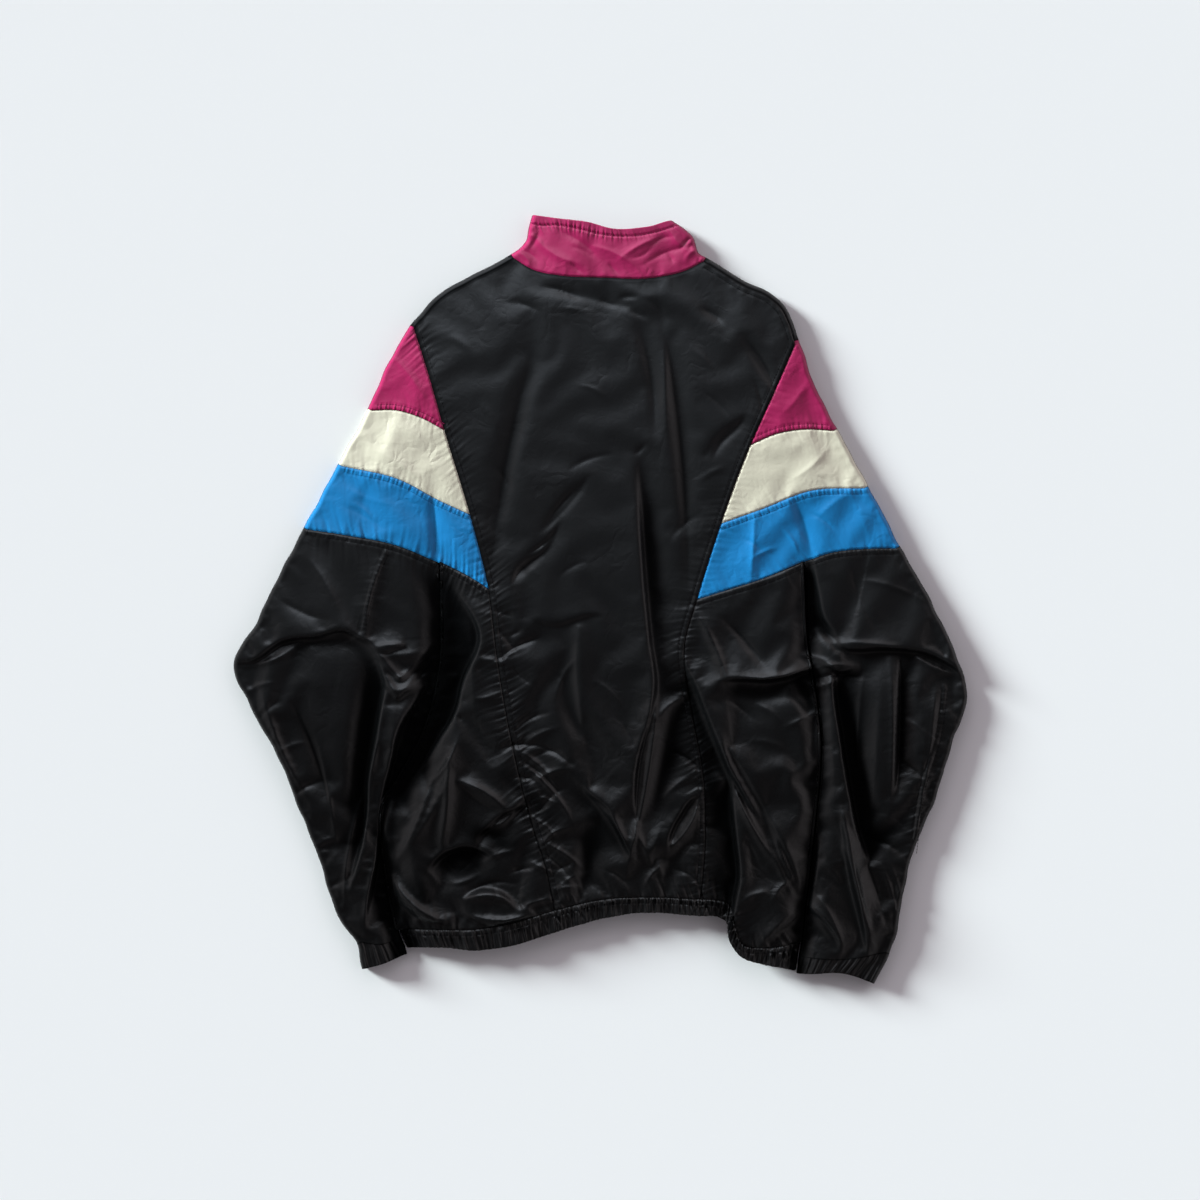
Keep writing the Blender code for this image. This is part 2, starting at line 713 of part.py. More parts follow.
def collar_front(points):
    """Plan of the collar's front layer, which lies lower than its back layer towards the middle."""
    across = np.linspace(-1, 1, points.shape[1])
    return points - np.stack([0 * across, COLLAR_FRONT_DROP * (1 - across**2)], axis=-1)[None]


# Pieces -------------------------------------------------------------------------------------------
def band(side, name, start, end, rows, finish):
    """A band: from the back princess seam, over the side fold, to the front princess seam."""
    edge, inward, fold_line = edge_fold(side, start, end, rows)
    inner_line = princess(side, start, end, rows)
    top = band_seam(side, start) if start != "apex" else np.repeat(fold_line[:1], BAND_POINTS, axis=0)
    plan = patch(top, band_seam(side, end), inner_line, fold_line)
    outer, normal = lifted(plan)
    kept = list(SIDE_KEPT) + [SIDE_CELLS + k for k in SLEEVE_KEPT[1:]]
    sheet = Sheet()
    sheet.grid(*joined((outer, normal), turned(edge, inward, SIDE_FOLD, outer[:, -1, 2], SIDE_TURN),
                       laid(plan[:, kept[::-1]])))
    return sheet.solid(f"{name}_{side}", finish)


def side_panel(side, finish):
    """Lower side of the body, from the back princess seam round the side to the front one."""
    edge, inward, fold_line = crevice_fold(side, "blue end", "side end", SIDE_ROWS, into_sleeve=False)
    left, _, right = hem_line("top")
    bottom = left[::-1] if side == "left" else right
    top = band_seam(side, "blue end")[:SIDE_CELLS + 1]
    top[-1] = fold_line[0]
    plan = patch(top, bottom, princess(side, "blue end", "hem", SIDE_ROWS), fold_line)
    outer, normal = lifted(plan)
    sheet = Sheet()
    sheet.grid(*joined((outer, normal), turned(edge, inward, UNDERARM_FOLD, outer[:, -1, 2], SIDE_TURN),
                       laid(plan[:, list(SIDE_KEPT)[::-1]])))
    return sheet.solid(f"side_panel_{side}", finish)


def tube(side, name, start, end, rows, top, bottom, lift, finish):
    """A stretch of sleeve: a flattened tube whose underarm seam lies on its inner fold."""
    edge, inward, fold_line = edge_fold(side, start, end, rows)
    inner_edge, inner_inward, inner_line = crevice_fold(side, start, end, rows, into_sleeve=True)
    top[0], bottom[0] = inner_line[0], inner_line[-1]
    plan = patch(top, bottom, inner_line, fold_line)
    outer, normal = lift(plan)
    inner_height = outer[:, 0, 2]
    sheet = Sheet()
    sheet.grid(*joined(
        turned(inner_edge, inner_inward, UNDERARM_FOLD, inner_height, (0.0, 45.0)),
        (outer, normal),
        turned(edge, inward, SIDE_FOLD, outer[:, -1, 2], SIDE_TURN),
        laid(plan[:, list(SLEEVE_KEPT)[::-1]]),
        turned(inner_edge, inner_inward, UNDERARM_FOLD, inner_height, (-45.0, 0.0)),
    ))
    return sheet.solid(f"{name}_{side}", finish)


def cuff_line(side, mark):
    """Line across the sleeve at the cuff's seam or its open end, from the inner fold to the outer one."""
    before = "blue end" if mark == "cuff seam" else "cuff seam"
    inner_end = crevice_fold(side, before, mark, 2, into_sleeve=True)[2][-1]
    outer_end = edge_fold(side, before, mark, 2)[2][-1]
    return through([inner_end, *CUFF_LINES[side, mark], outer_end], SLEEVE_CELLS)


def back_panel(finish):
    """Centre back between the princess seams, from the shoulders and neck to the waistband."""
    shoulders = [edge_fold(side, "neck", "apex", SHOULDER_CELLS)[2] for side in ("left", "right")]
    top = np.vstack([shoulders[0][::-1], neck_line()[1:-1], shoulders[1]])
    borders = []
    for side in ("left", "right"):
        runs = [princess(side, a, b, rows) for a, b, rows in PRINCESS_RUNS]
        borders.append(np.vstack([runs[0]] + [run[1:] for run in runs[1:]]))
    sheet = Sheet()
    sheet.grid(*lifted(patch(top, hem_line("top")[1], *borders)))
    return sheet.solid("back_panel", finish)


def front(side, finish):
    """Flat front from shoulder to waistband, with a strip that turns over the shoulder to the back."""
    edge, inward, fold_line = edge_fold(side, "neck", "apex", SHOULDER_CELLS)
    top_layer, top_normal = lifted(fold_line[:, None])
    turn = turned(edge, inward, SIDE_FOLD, top_layer[:, 0, 2], SIDE_TURN)
    sheet = Sheet()
    sheet.grid(*joined((top_layer, top_normal), turn, laid(fold_line[:, None])))

    neck = collar_front(neck_line()[None])[0]
    hem = hem_line("top")[1]
    if side == "right":
        neck = neck[::-1]
        hem = hem[::-1]
    neck = neck[list(NECK_KEPT)]
    hem = hem[list(HALF_BACK_KEPT)]
    inner_side = (CHAIN_WIDTH / 2) * (-1 if side == "left" else 1)
    neck[-1, 0] = zip_x(neck[-1, 1]) + inner_side
    hem[-1, 0] = zip_x(hem[-1, 1]) + inner_side
    seam = np.vstack([princess(side, a, b, rows)[1:] for a, b, rows in PRINCESS_RUNS])
    outline = np.vstack([fold_line[::-1], neck[1:], hem[::-1], seam[-2::-1]])
    sheet.plate(*laid(outline))
    return sheet.solid(f"front_{side}", finish)


def ring(name, back_plan, front_plan, left_fold, right_fold, radius, kept, lift, finish):
    """A flattened ring, open at the front: half of its front layer, its back layer and the other half."""
    outer, normal = lift(back_plan)
    left_kept, right_kept = kept
    left_front = front_plan[:, left_kept[::-1]]
    right_front = front_plan[:, right_kept]
    left_front[:, 0, 0] = zip_x(left_front[:, 0, 1]) - CHAIN_WIDTH / 2
    right_front[:, -1, 0] = zip_x(right_front[:, -1, 1]) + CHAIN_WIDTH / 2
    sheet = Sheet()
    sheet.grid(*joined(
        laid(left_front),
        turned(*left_fold, radius, outer[:, 0, 2], SIDE_TURN[::-1]),
        (outer, normal),
        turned(*right_fold, radius, outer[:, -1, 2], SIDE_TURN),
        laid(right_front),
    ))
    return sheet.solid(name, finish)


def collar_plan():
    """Plan grid of the collar's back layer, from the neck seam up, and its two side folds."""
    sides = {}
    for side in ("left", "right"):
        sides[side] = [run[::-1] for run in edge_fold(side, "collar top", "neck", COLLAR_ROWS)]
    middle = [(s.x, s.y) for s in COLLAR_TOP]
    top = through([sides["left"][2][-1], *middle, sides["right"][2][-1]], NECK_CELLS)
    return patch(neck_line(), top, sides["left"][2], sides["right"][2]), sides


def collar(finish):
    """Stand collar, with its back layer up and its front halves under it."""
    plan, sides = collar_plan()
    last = NECK_CELLS
    return ring("collar", plan, collar_front(plan), sides["left"][:2], sides["right"][:2], SIDE_FOLD,
                (list(NECK_KEPT), [last - k for k in NECK_KEPT]), lifted, finish)


def waistband(finish):
    """Elasticated waistband, gathered along its top layer."""
    lines = []
    for level in ("top", "bottom"):
        left, back, right = hem_line(level)
        lines.append(np.vstack([left, back[1:], right[1:]]))
    folds = []
    for side in ("left", "right"):
        edge, inward, _ = crevice_fold(side, "side end", "hem end", HEM_ROWS, into_sleeve=False)
        folds.append((edge, inward))
    left_side = folds[0][0] + UNDERARM_FOLD * folds[0][1]
    right_side = folds[1][0] + UNDERARM_FOLD * folds[1][1]
    plan = patch(lines[0], lines[1], left_side, right_side)
    last = 2 * SIDE_CELLS + BACK_CELLS
    half_left = [SIDE_CELLS - k for k in SIDE_KEPT][::-1] + [SIDE_CELLS + k for k in HALF_BACK_KEPT[1:]]
    return ring("waistband", plan, plan, folds[0], folds[1], UNDERARM_FOLD,
                (half_left, [last - k for k in half_left]), gathered, finish)


def zip_chain(finish):
    """Closed zip's chain, a flat strip between the two fronts from the hem to the slider."""
    hem, collar_end = [np.array((s.x, s.y)) for s in ZIP_ENDS]
    half = CHAIN_WIDTH / 2 - SEAM_GAP / 2
    corners = [(x + side * half, y, z) for x, y in (hem, collar_end) for side in (-1, 1)
               for z in (0.0, CHAIN_HEIGHT)]
    mesh = bmesh.new()
    bmesh.ops.convex_hull(mesh, input=[mesh.verts.new(np.array(c) * MM) for c in corners])
    return place_mesh("zip_chain", mesh, finish)


def zip_slider(finish):
    """Slider at the top of the closed chain, with its pull tab turned up to lie flat on the surface."""
    top = ZIP_ENDS[1]
    mesh = bmesh.new()
    loops = []
    for section in SLIDER:
        y = top.y + SEAM_GAP + section.y
        left, right = top.x - section.half_width, top.x + section.half_width
        corners = ((left, y, 0.0), (right, y, 0.0), (right, y, section.top), (left, y, section.top))
        loops.append([mesh.verts.new(np.array(c) * MM) for c in corners])
    for low, high in zip(loops[:-1], loops[1:]):
        for k in range(4):
            mesh.faces.new([low[k - 1], low[k], high[k], high[k - 1]])
    mesh.faces.new(loops[0])
    mesh.faces.new(loops[-1])
    bmesh.ops.recalc_face_normals(mesh, faces=mesh.faces)
    return place_mesh("zip_slider", mesh, finish)


def build():
    for thing in list(bpy.data.objects):
        bpy.data.objects.remove(thing, do_unlink=True)
    plastic = material("zip_plastic", (0.03, 0.03, 0.035), 0.4)
    black = material("black_nylon", (0.015, 0.016, 0.019), 0.5)
    magenta = material("magenta_nylon", (0.46, 0.03, 0.15), 0.5)
    white = material("white_nylon", (0.78, 0.77, 0.66), 0.5)
    blue = material("blue_nylon", (0.02, 0.22, 0.53), 0.5)
    back_panel(black)
    collar(magenta)
    waistband(black)
    zip_chain(plastic)
    zip_slider(plastic)
    for side in ("left", "right"):
        band(side, "band_magenta", "apex", "magenta end", MAGENTA_ROWS, magenta)
        band(side, "band_white", "magenta end", "white end", WHITE_ROWS, white)
        band(side, "band_blue", "white end", "blue end", BLUE_ROWS, blue)
        side_panel(side, black)
        tube(side, "sleeve", "blue end", "cuff seam", SLEEVE_ROWS,
             band_seam(side, "blue end")[SIDE_CELLS:], cuff_line(side, "cuff seam"), lifted, black)
        tube(side, "cuff", "cuff seam", "cuff end", CUFF_ROWS,
             cuff_line(side, "cuff seam"), cuff_line(side, "cuff end"), gathered, black)
        front(side, black)


build()
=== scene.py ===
"""Looks of the track jacket: thin nylon shells on its solids, with creases, puckers and stitching."""

from collections import namedtuple

import bpy
import numpy as np
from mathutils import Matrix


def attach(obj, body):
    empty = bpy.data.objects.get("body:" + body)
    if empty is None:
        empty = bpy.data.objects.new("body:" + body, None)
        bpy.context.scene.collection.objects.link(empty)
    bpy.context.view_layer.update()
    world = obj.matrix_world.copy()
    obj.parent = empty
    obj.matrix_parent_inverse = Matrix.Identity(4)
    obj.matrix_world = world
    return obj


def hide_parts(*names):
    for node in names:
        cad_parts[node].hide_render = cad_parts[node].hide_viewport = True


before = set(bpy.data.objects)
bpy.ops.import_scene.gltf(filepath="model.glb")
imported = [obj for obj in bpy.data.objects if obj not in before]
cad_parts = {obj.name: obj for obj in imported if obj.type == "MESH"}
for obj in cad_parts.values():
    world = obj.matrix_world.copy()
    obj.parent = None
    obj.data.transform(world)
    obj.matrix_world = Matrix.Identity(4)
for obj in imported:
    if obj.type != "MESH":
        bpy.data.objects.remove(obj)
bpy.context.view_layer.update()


# Back panel ---------------------------------------------------------------------------------------
# The black centre back, cut from thin nylon taffeta in one piece. It runs from the shoulders and the
# neck to the waistband between two curved princess seams, and it is topstitched beside each of them.
# All sizes here are in millimetres.
MM = 0.001
SIDES = ("left", "right")


def table(record, *rows):
    """Rows of a table as records, so that their columns have names."""
    return [record(*row) for row in rows]


# Points of the jacket's lines from the middle of the photograph, x to the right and y up, with a name
# where a seam or another piece begins
Station = namedtuple("Station", "mark x y")
LEFT_EDGE = table(Station,
    ("collar top", -68.5, 383),
    ("", -72.5, 368),
    ("", -74.0, 359.5),
    ("", -80.5, 351),
    ("neck", -89.5, 345),
    ("", -120.5, 328),
    ("", -160.5, 306),
    ("apex", -189.5, 274),
    ("", -205.5, 249),
    ("magenta end", -232.5, 191),
    ("white end", -262, 136),
    ("blue end", -296, 72.5),
    ("", -319.5, 28),
    ("", -342.5, -20),
    ("elbow", -366.5, -68),
    ("", -353.5, -99),
    ("", -319.5, -162),
    ("", -300.5, -210),
    ("", -280.5, -260),
    ("", -260.5, -319),
    ("cuff seam", -243.5, -343),
    ("cuff end", -238.5, -368),
)
RIGHT_EDGE = table(Station,
    ("collar top", 71.5, 378.5),
    ("", 85.5, 369),
    ("", 92.5, 362),
    ("", 95.5, 353),
    ("", 97.5, 347),
    ("neck", 105.5, 342),
    ("", 139.5, 321),
    ("", 179.5, 299),
    ("apex", 198.5, 260),
    ("", 211.5, 220),
    ("magenta end", 236.5, 171),
    ("white end", 267.5, 114),
    ("blue end", 299, 54),
    ("", 330.5, -2),
    ("", 356.5, -59),
    ("elbow", 366.5, -92),
    ("", 352.5, -139),
    ("", 333.5, -200),
    ("", 309.5, -260),
    ("", 299.5, -310),
    ("", 294.5, -336),
    ("cuff seam", 288.5, -353),
    ("cuff end", 273.5, -383),
)
LEFT_PRINCESS = table(Station,
    ("apex", -185.5, 269),
    ("", -168.5, 215),
    ("magenta end", -155.5, 169),
    ("white end", -130, 85),
    ("blue end", -111.5, 11),
    ("", -102.5, -60),
    ("", -88.5, -140),
    ("", -67.5, -226),
    ("", -54.5, -266),
    ("hem", -45.5, -309),
)
RIGHT_PRINCESS = table(Station,
    ("apex", 194.5, 256),
    ("", 174.5, 210),
    ("magenta end", 149.5, 154.5),
    ("white end", 120, 76),
    ("blue end", 96, 0.5),
    ("", 83.5, -45),
    ("", 90.5, -107),
    ("", 102.5, -175),
    ("", 104.5, -238),
    ("hem", 100, -298),
)
LEFT_CREVICE = table(Station,
    ("blue end", -160.5, 37),
    ("", -156.5, -20),
    ("", -160.5, -80),
    ("", -176.5, -135),
    ("", -198.5, -175),
    ("", -216.5, -206),
    ("", -217.5, -236),
    ("", -212.5, -275),
    ("side end", -201.5, -328),
    ("cuff seam", -198.5, -337),
    ("hem end", -194.5, -346),
    ("cuff end", -192.5, -353),
)
RIGHT_CREVICE = table(Station,
    ("blue end", 202.5, 38),
    ("", 205.5, -43),
    ("", 212.5, -85),
    ("", 217.5, -125),
    ("", 218.5, -165),
    ("", 213.5, -218),
    ("", 207.5, -273),
    ("", 202.5, -315),
    ("side end", 199.5, -342),
    ("cuff seam", 197.5, -355),
    ("hem end", 195.5, -369),
    ("cuff end", 195, -372),
)
NECK_SEAM = ((-67.5, 329), (-40.5, 323), (-0.5, 321), (54.5, 321), (84.5, 328))
# Points that each band's lower seam passes between the princess seam and the side fold
BAND_SEAMS = {
    ("left", "magenta end"): ((-180.5, 182), (-205.5, 189)),
    ("left", "white end"): ((-160.5, 99), (-200.5, 120)),
    ("left", "blue end"): ((-205.5, 55), (-250.5, 64)),
    ("right", "magenta end"): ((177.5, 166), (207.5, 170)),
    ("right", "white end"): ((159.5, 90), (210.5, 109)),
    ("right", "blue end"): ((229.5, 47), (264.5, 51)),
}
UNDERARM_SEAM = {
    "left": ((-123.5, 19), (-142.5, 29)),
    "right": ((129.5, 11), (164.5, 22)),
}
HEM_TOP = table(Station,
    ("left", -201.5, -328),
    ("", -170.5, -328),
    ("", -125.5, -328),
    ("", -85.5, -321),
    ("left princess", -45.5, -309),
    ("", 3.5, -298),
    ("", 49.5, -296),
    ("right princess", 100, -298),
)
HEM_BOTTOM = table(Station,
    ("left", -193.5, -346),
    ("", -160.5, -345),
    ("", -121.5, -348),
    ("", -79.5, -341),
    ("left princess", -42.5, -329),
    ("", 3.5, -316),
    ("", 33.5, -311),
    ("right princess", 100.5, -313.5),
)
# The right side panel hangs lower than the back and laps over its hem's end, so the hem steps down there
HemStep = namedtuple("HemStep", "x_top y_top x_bottom y_bottom")
HEM_STEP = table(HemStep,
    (114.5, -299, 115.5, -314.5),
    (126.5, -302, 125.5, -320),
    (133.5, -324, 128.5, -339),
    (141.5, -343, 138.5, -353),
    (161.5, -346.5, 161.5, -362),
    (181.5, -344.5, 179.5, -365),
)


def unit(vectors):
    """Vectors brought to a length of one."""
    return vectors / np.linalg.norm(vectors, axis=1, keepdims=True)


def lengths_along(points):
    """Length from the first point of a polyline to each of its points."""
    return np.concatenate([[0.0], np.cumsum(np.linalg.norm(np.diff(points, axis=0), axis=1))])


class Line:
    """Smooth curve through stations: cubic spans, with tangents that weigh the neighbours by distance."""

    STEPS = 24

    def __init__(self, stations, inside=1.0):
        points = np.array([(s.x, s.y) for s in stations])
        ends = np.vstack([2 * points[0] - points[1], points, 2 * points[-1] - points[-2]])
        dense = []
        for a, b, c, d in zip(ends[:-3], ends[1:-2], ends[2:-1], ends[3:]):
            t = np.arange(self.STEPS)[:, None] / self.STEPS
            dense.append(hermite(b, c, *tangents(a, b, c, d), t))
        self.points = np.vstack(dense + [points[-1:]])
        self.length = lengths_along(self.points)
        self.marks = {s.mark: self.length[i * self.STEPS] for i, s in enumerate(stations) if s.mark}
        along = unit(np.gradient(self.points, axis=0))
        self.inward = inside * np.column_stack([along[:, 1], -along[:, 0]])

    def between(self, start, end, shares):
        """Points from one mark to another, at the given shares of the way."""
        return self.at(self.points, self.lengths(start, end, shares))

    def inward_between(self, start, end, shares):
        """Unit vectors into the piece at the same places."""
        return unit(self.at(self.inward, self.lengths(start, end, shares)))

    def lengths(self, start, end, shares):
        """Lengths along the curve at shares of the way between two marks."""
        return self.marks[start] + shares * (self.marks[end] - self.marks[start])

    def at(self, values, lengths):
        """Values of the curve's points, read off at given lengths."""
        return np.column_stack([np.interp(lengths, self.length, values[:, k]) for k in (0, 1)])


def tangents(a, b, c, d):
    """Tangents at b and c, from the slopes of the spans on both sides, the nearer span counting more."""
    before, span, after = (np.linalg.norm(q - p) + 1e-9 for p, q in ((a, b), (b, c), (c, d)))
    at_b = span * ((b - a) / before * span + (c - b) / span * before) / (before + span)
    at_c = span * ((c - b) / span * after + (d - c) / after * span) / (span + after)
    return at_b, at_c


def hermite(b, c, at_b, at_c, t):
    """Cubic from b to c with the given end tangents."""
    return ((2 * t**3 - 3 * t**2 + 1) * b + (t**3 - 2 * t**2 + t) * at_b
            + (3 * t**2 - 2 * t**3) * c + (t**3 - t**2) * at_c)


def through(points, shares):
    """Points at the given shares of a smooth curve through a few points."""
    line = Line([Station(str(i), x, y) for i, (x, y) in enumerate(points)])
    return line.between("0", str(len(points) - 1), shares)


def shares(cells, fine=5):
    """Shares from 0 to 1 whose steps shrink towards both ends, where the seams need finer cells."""
    steps = np.ones(cells)
    ramp = np.linspace(0.28, 0.9, fine)
    steps[:fine] = ramp
    steps[-fine:] = ramp[::-1]
    return np.concatenate([[0.0], np.cumsum(steps) / steps.sum()])


def patch(top, bottom, left, right, across, down):
    """Plan grid between four borders: each blended to the facing one, less the corners counted twice."""
    v = down[:, None, None]
    u = across[None, :, None]
    ruled_down = (1 - v) * top[None] + v * bottom[None]
    ruled_across = (1 - u) * left[:, None] + u * right[:, None]
    corners = ((1 - u) * (1 - v) * top[0] + u * (1 - v) * top[-1]
               + (1 - u) * v * bottom[0] + u * v * bottom[-1])
    return ruled_down + ruled_across - corners


EDGES = {"left": Line(LEFT_EDGE, -1.0), "right": Line(RIGHT_EDGE, 1.0)}
EDGE_WAVE = 0.55


def wobble(s, pitch, seed):
    """Uneven wave along a length: three sines whose pitches don't fit each other."""
    phase = 2.399 * seed
    return (np.sin(2 * np.pi * s / pitch + phase)
            + 0.7 * np.sin(2 * np.pi * s / (pitch * 0.618) + 2.1 * phase)
            + 0.6 * np.sin(2 * np.pi * s / (pitch * 1.73) + 0.7 * phase)) / 1.6


for seed, line in enumerate(EDGES.values()):
    wave = EDGE_WAVE * np.clip(line.length / 150, 0.2, 1) * (0.5 + wobble(line.length, 44.0, seed + 2))
    line.points = line.points + line.inward * wave[:, None]
CREVICES = {"left": Line(LEFT_CREVICE, 1.0), "right": Line(RIGHT_CREVICE, -1.0)}
PRINCESS = {"left": Line(LEFT_PRINCESS), "right": Line(RIGHT_PRINCESS)}
SIDE_FOLD = 5.0
UNDERARM_FOLD = 3.0
CREVICE_GAP = 1.2


def edge_fold(side, start, end, at):
    """Silhouette points, inward vectors and the line where the top layer starts to turn down."""
    edge = EDGES[side].between(start, end, at)
    inward = EDGES[side].inward_between(start, end, at)
    return edge, inward, edge + SIDE_FOLD * inward


def crevice_fold(side, start, end, at, into_sleeve):
    """The same for the fold beside the sleeve, on the sleeve's side of it or on the body's."""
    edge = CREVICES[side].between(start, end, at)
    inward = CREVICES[side].inward_between(start, end, at) * (1 if into_sleeve else -1)
    if start == "blue end":
        seam = (sleeve_seam if into_sleeve else body_seam)(side, np.array([0.0, 0.02]))
        step = seam[1] - seam[0]
        inward[0] = step / np.linalg.norm(step)
    edge = edge + inward * CREVICE_GAP / 2
    return edge, inward, edge + UNDERARM_FOLD * inward


def princess(side, start, end, at):
    """Princess seam's points, whose top end is where the side begins to turn."""
    points = PRINCESS[side].between(start, end, at)
    if start == "apex":
        points[0] = edge_fold(side, "apex", "magenta end", at)[2][0]
    return points


def underarm(side):
    """Underarm point, where the fold between body and sleeve begins."""
    return CREVICES[side].between("blue end", "side end", np.array([0.0]))[0]


def sleeve_seam(side, at):
    """Blue band's lower seam from the underarm point to the side fold."""
    outer_end = edge_fold(side, "white end", "blue end", np.array([1.0]))[2][0]
    return through([underarm(side), *BAND_SEAMS[side, "blue end"], outer_end], at)


def body_seam(side, at):
    """Blue band's lower seam from the underarm point to the princess seam."""
    inner_end = PRINCESS[side].between("white end", "blue end", np.array([1.0]))[0]
    return through([underarm(side), *UNDERARM_SEAM[side][::-1], inner_end], at)


def neck_line(at):
    """Neck seam from side fold to side fold."""
    ends = [edge_fold(side, "neck", "apex", np.array([0.0]))[2][0] for side in SIDES]
    return through([ends[0], *NECK_SEAM, ends[1]], at)


def body_end(side, mark):
    """Where the body's side fold begins, on the waistband's top or bottom line."""
    start = "blue end" if mark == "side end" else "side end"
    return crevice_fold(side, start, mark, np.array([0.0, 1.0]), into_sleeve=False)[2][-1]


def hem_line(level, at_side, at_back):
    """Waistband's top or bottom line across the left side, the back and the right side."""
    line = Line(HEM_TOP if level == "top" else HEM_BOTTOM)
    left = line.between("left", "left princess", at_side)
    back = line.between("left princess", "right princess", at_back)
    steps = [(s.x_top, s.y_top) if level == "top" else (s.x_bottom, s.y_bottom) for s in HEM_STEP]
    mark = "side end" if level == "top" else "hem end"
    left[0] = body_end("left", mark)
    right = through([back[-1], *steps, body_end("right", mark)], at_side)
    return left, back, right


# Ridges and troughs: a line with a sideways bow, its width and its rise, which is negative in a trough
Fold = namedtuple("Fold", "x0 y0 x1 y1 bow width rise")
BACK_FOLDS = table(Fold,
    (-60.5, 255, -107.5, 25, -6, 17, -1.9),
    (39.5, 150, 59.5, -45, 0, 17, -2.5),
    (39.5, 270, 54.5, 168, 4, 13, -1.6),
    (59.5, 290, 87.5, 15, 6, 15, -2.2),
    (63.5, 265, 63.5, 155, 0, 11, 1.6),
    (-57.5, 70, -14.5, 120, 0, 11, -1.6),
    (-85.5, 20, -60.5, 47, 0, 11, -1.9),
    (-59.5, 308, 39.5, 288, 3, 11, -1.1),
    (142.5, 260, 174.5, 210, 0, 13, -1.9),
    (100.5, 289, 121.5, 276, 0, 11, -1.2),
    (-21.5, -15, -18.5, -140, 0, 13, 1.6),
    (51.5, -78, 27.5, -266, 5, 17, 3.4),
    (-14.5, -190, 30.5, -256, 5, 13, 2.8),
    (-12.5, -206, -16.5, -288, 0, 24, -2.2),
    (47.5, -258, 59.5, -226, 0, 12, 1.9),
    (98.5, -192, 67.5, -250, 7, 15, 2.8),
    (72.5, -112, 51.5, -242, 0, 22, -2.2),
    (-50.5, -60, -0.5, -170, 0, 24, -1.2),
    (105.5, 144, 141.5, 180, 0, 11, -1.2),
)
SIDE_FOLDS = table(Fold,
    (120.5, -138, 177.5, -266, -8, 15, 3.4),
    (164.5, -215, 197.5, -292, 0, 12, 3.1),
    (147.5, -220, 155.5, -300, 0, 13, -1.9),
    (115.5, -81, 211.5, -68, -3, 17, 3.4),
    (151.5, -98, 215.5, -92, 0, 16, -2.2),
    (122.5, -18, 163.5, -66, 0, 13, -1.9),
    (99.5, -18, 125.5, -80, 0, 13, 2.2),
    (181.5, -128, 211.5, -200, 0, 18, -1.9),
    (161.5, -343, 198.5, -312, 0, 12, 2.5),
    (-160.5, -32, -169.5, -142, -8, 26, -3.7),
    (-169.5, -142, -216.5, -206, 0, 24, -3.1),
    (-143.5, -142, -200.5, -258, 8, 15, 4.0),
    (-150.5, -156, -158.5, -246, 0, 13, 2.5),
    (-140.5, -180, -92.5, -209, 3, 13, 2.8),
    (-114.5, -229, -79.5, -205, -3, 13, 2.8),
    (-128.5, -234, -85.5, -232, 0, 18, -1.9),
    (-162.5, -266, -112.5, -266, 0, 26, -2.5),
    (-136.5, -299, -74.5, -308, 7, 14, 3.1),
    (-208.5, -274, -156.5, -320, -6, 14, 3.4),
    (-136.5, -313, -58.5, -311, -6, 11, 2.2),
    (-130.5, -20, -124.5, -120, 0, 20, 1.9),
)
SLEEVE_FOLDS = table(Fold,
    (-224.5, -57, -166.5, -52, 0, 14, 3.4),
    (-216.5, -73, -163.5, -68, 0, 11, -2.8),
    (-210.5, -91, -172.5, -86, 0, 13, 3.1),
    (-227.5, -50, -248.5, -232, 0, 22, -3.4),
    (-204.5, -98, -232.5, -312, 6, 20, 5.0),
    (-300.5, -96, -264.5, -212, 0, 24, -1.9),
    (-338.5, -90, -288.5, -200, -4, 20, 1.6),
    (-215.5, 48, -236.5, -34, -3, 13, 1.2),
    (239.5, -88, 267.5, -260, 2, 18, -4.0),
    (279.5, -70, 271.5, -206, 0, 26, 3.7),
    (302.5, -64, 297.5, -190, 0, 15, -2.8),
    (328.5, -100, 315.5, -200, 0, 20, 1.9),
    (237.5, -232, 269.5, -342, 0, 13, 3.1),
    (251.5, -230, 283.5, -320, 0, 13, -2.2),
    (207.5, -305, 239.5, -350, 0, 12, 3.1),
    (211.5, -66, 255.5, -67, -4, 13, 3.1),
    (207.5, -15, 237.5, -45, 0, 14, -2.8),
    (227.5, -100, 233.5, -200, 0, 16, 2.5),
)
BAND_FOLDS = table(Fold,
    (-168.5, 106, -163.5, 44, 0, 12, -1.6),
    (193.5, 100, 210.5, 44, 0, 13, -1.9),
    (153.5, 86, 149.5, 18, 0, 11, 1.2),
    (-200.5, 180, -248.5, 100, 5, 26, 1.2),
    (-222.5, 130, -248.5, 60, 0, 20, -1.2),
    (199.5, 220, 233.5, 130, 0, 22, -1.2),
    (244.5, 120, 271.5, 55, 0, 20, 1.2),
)
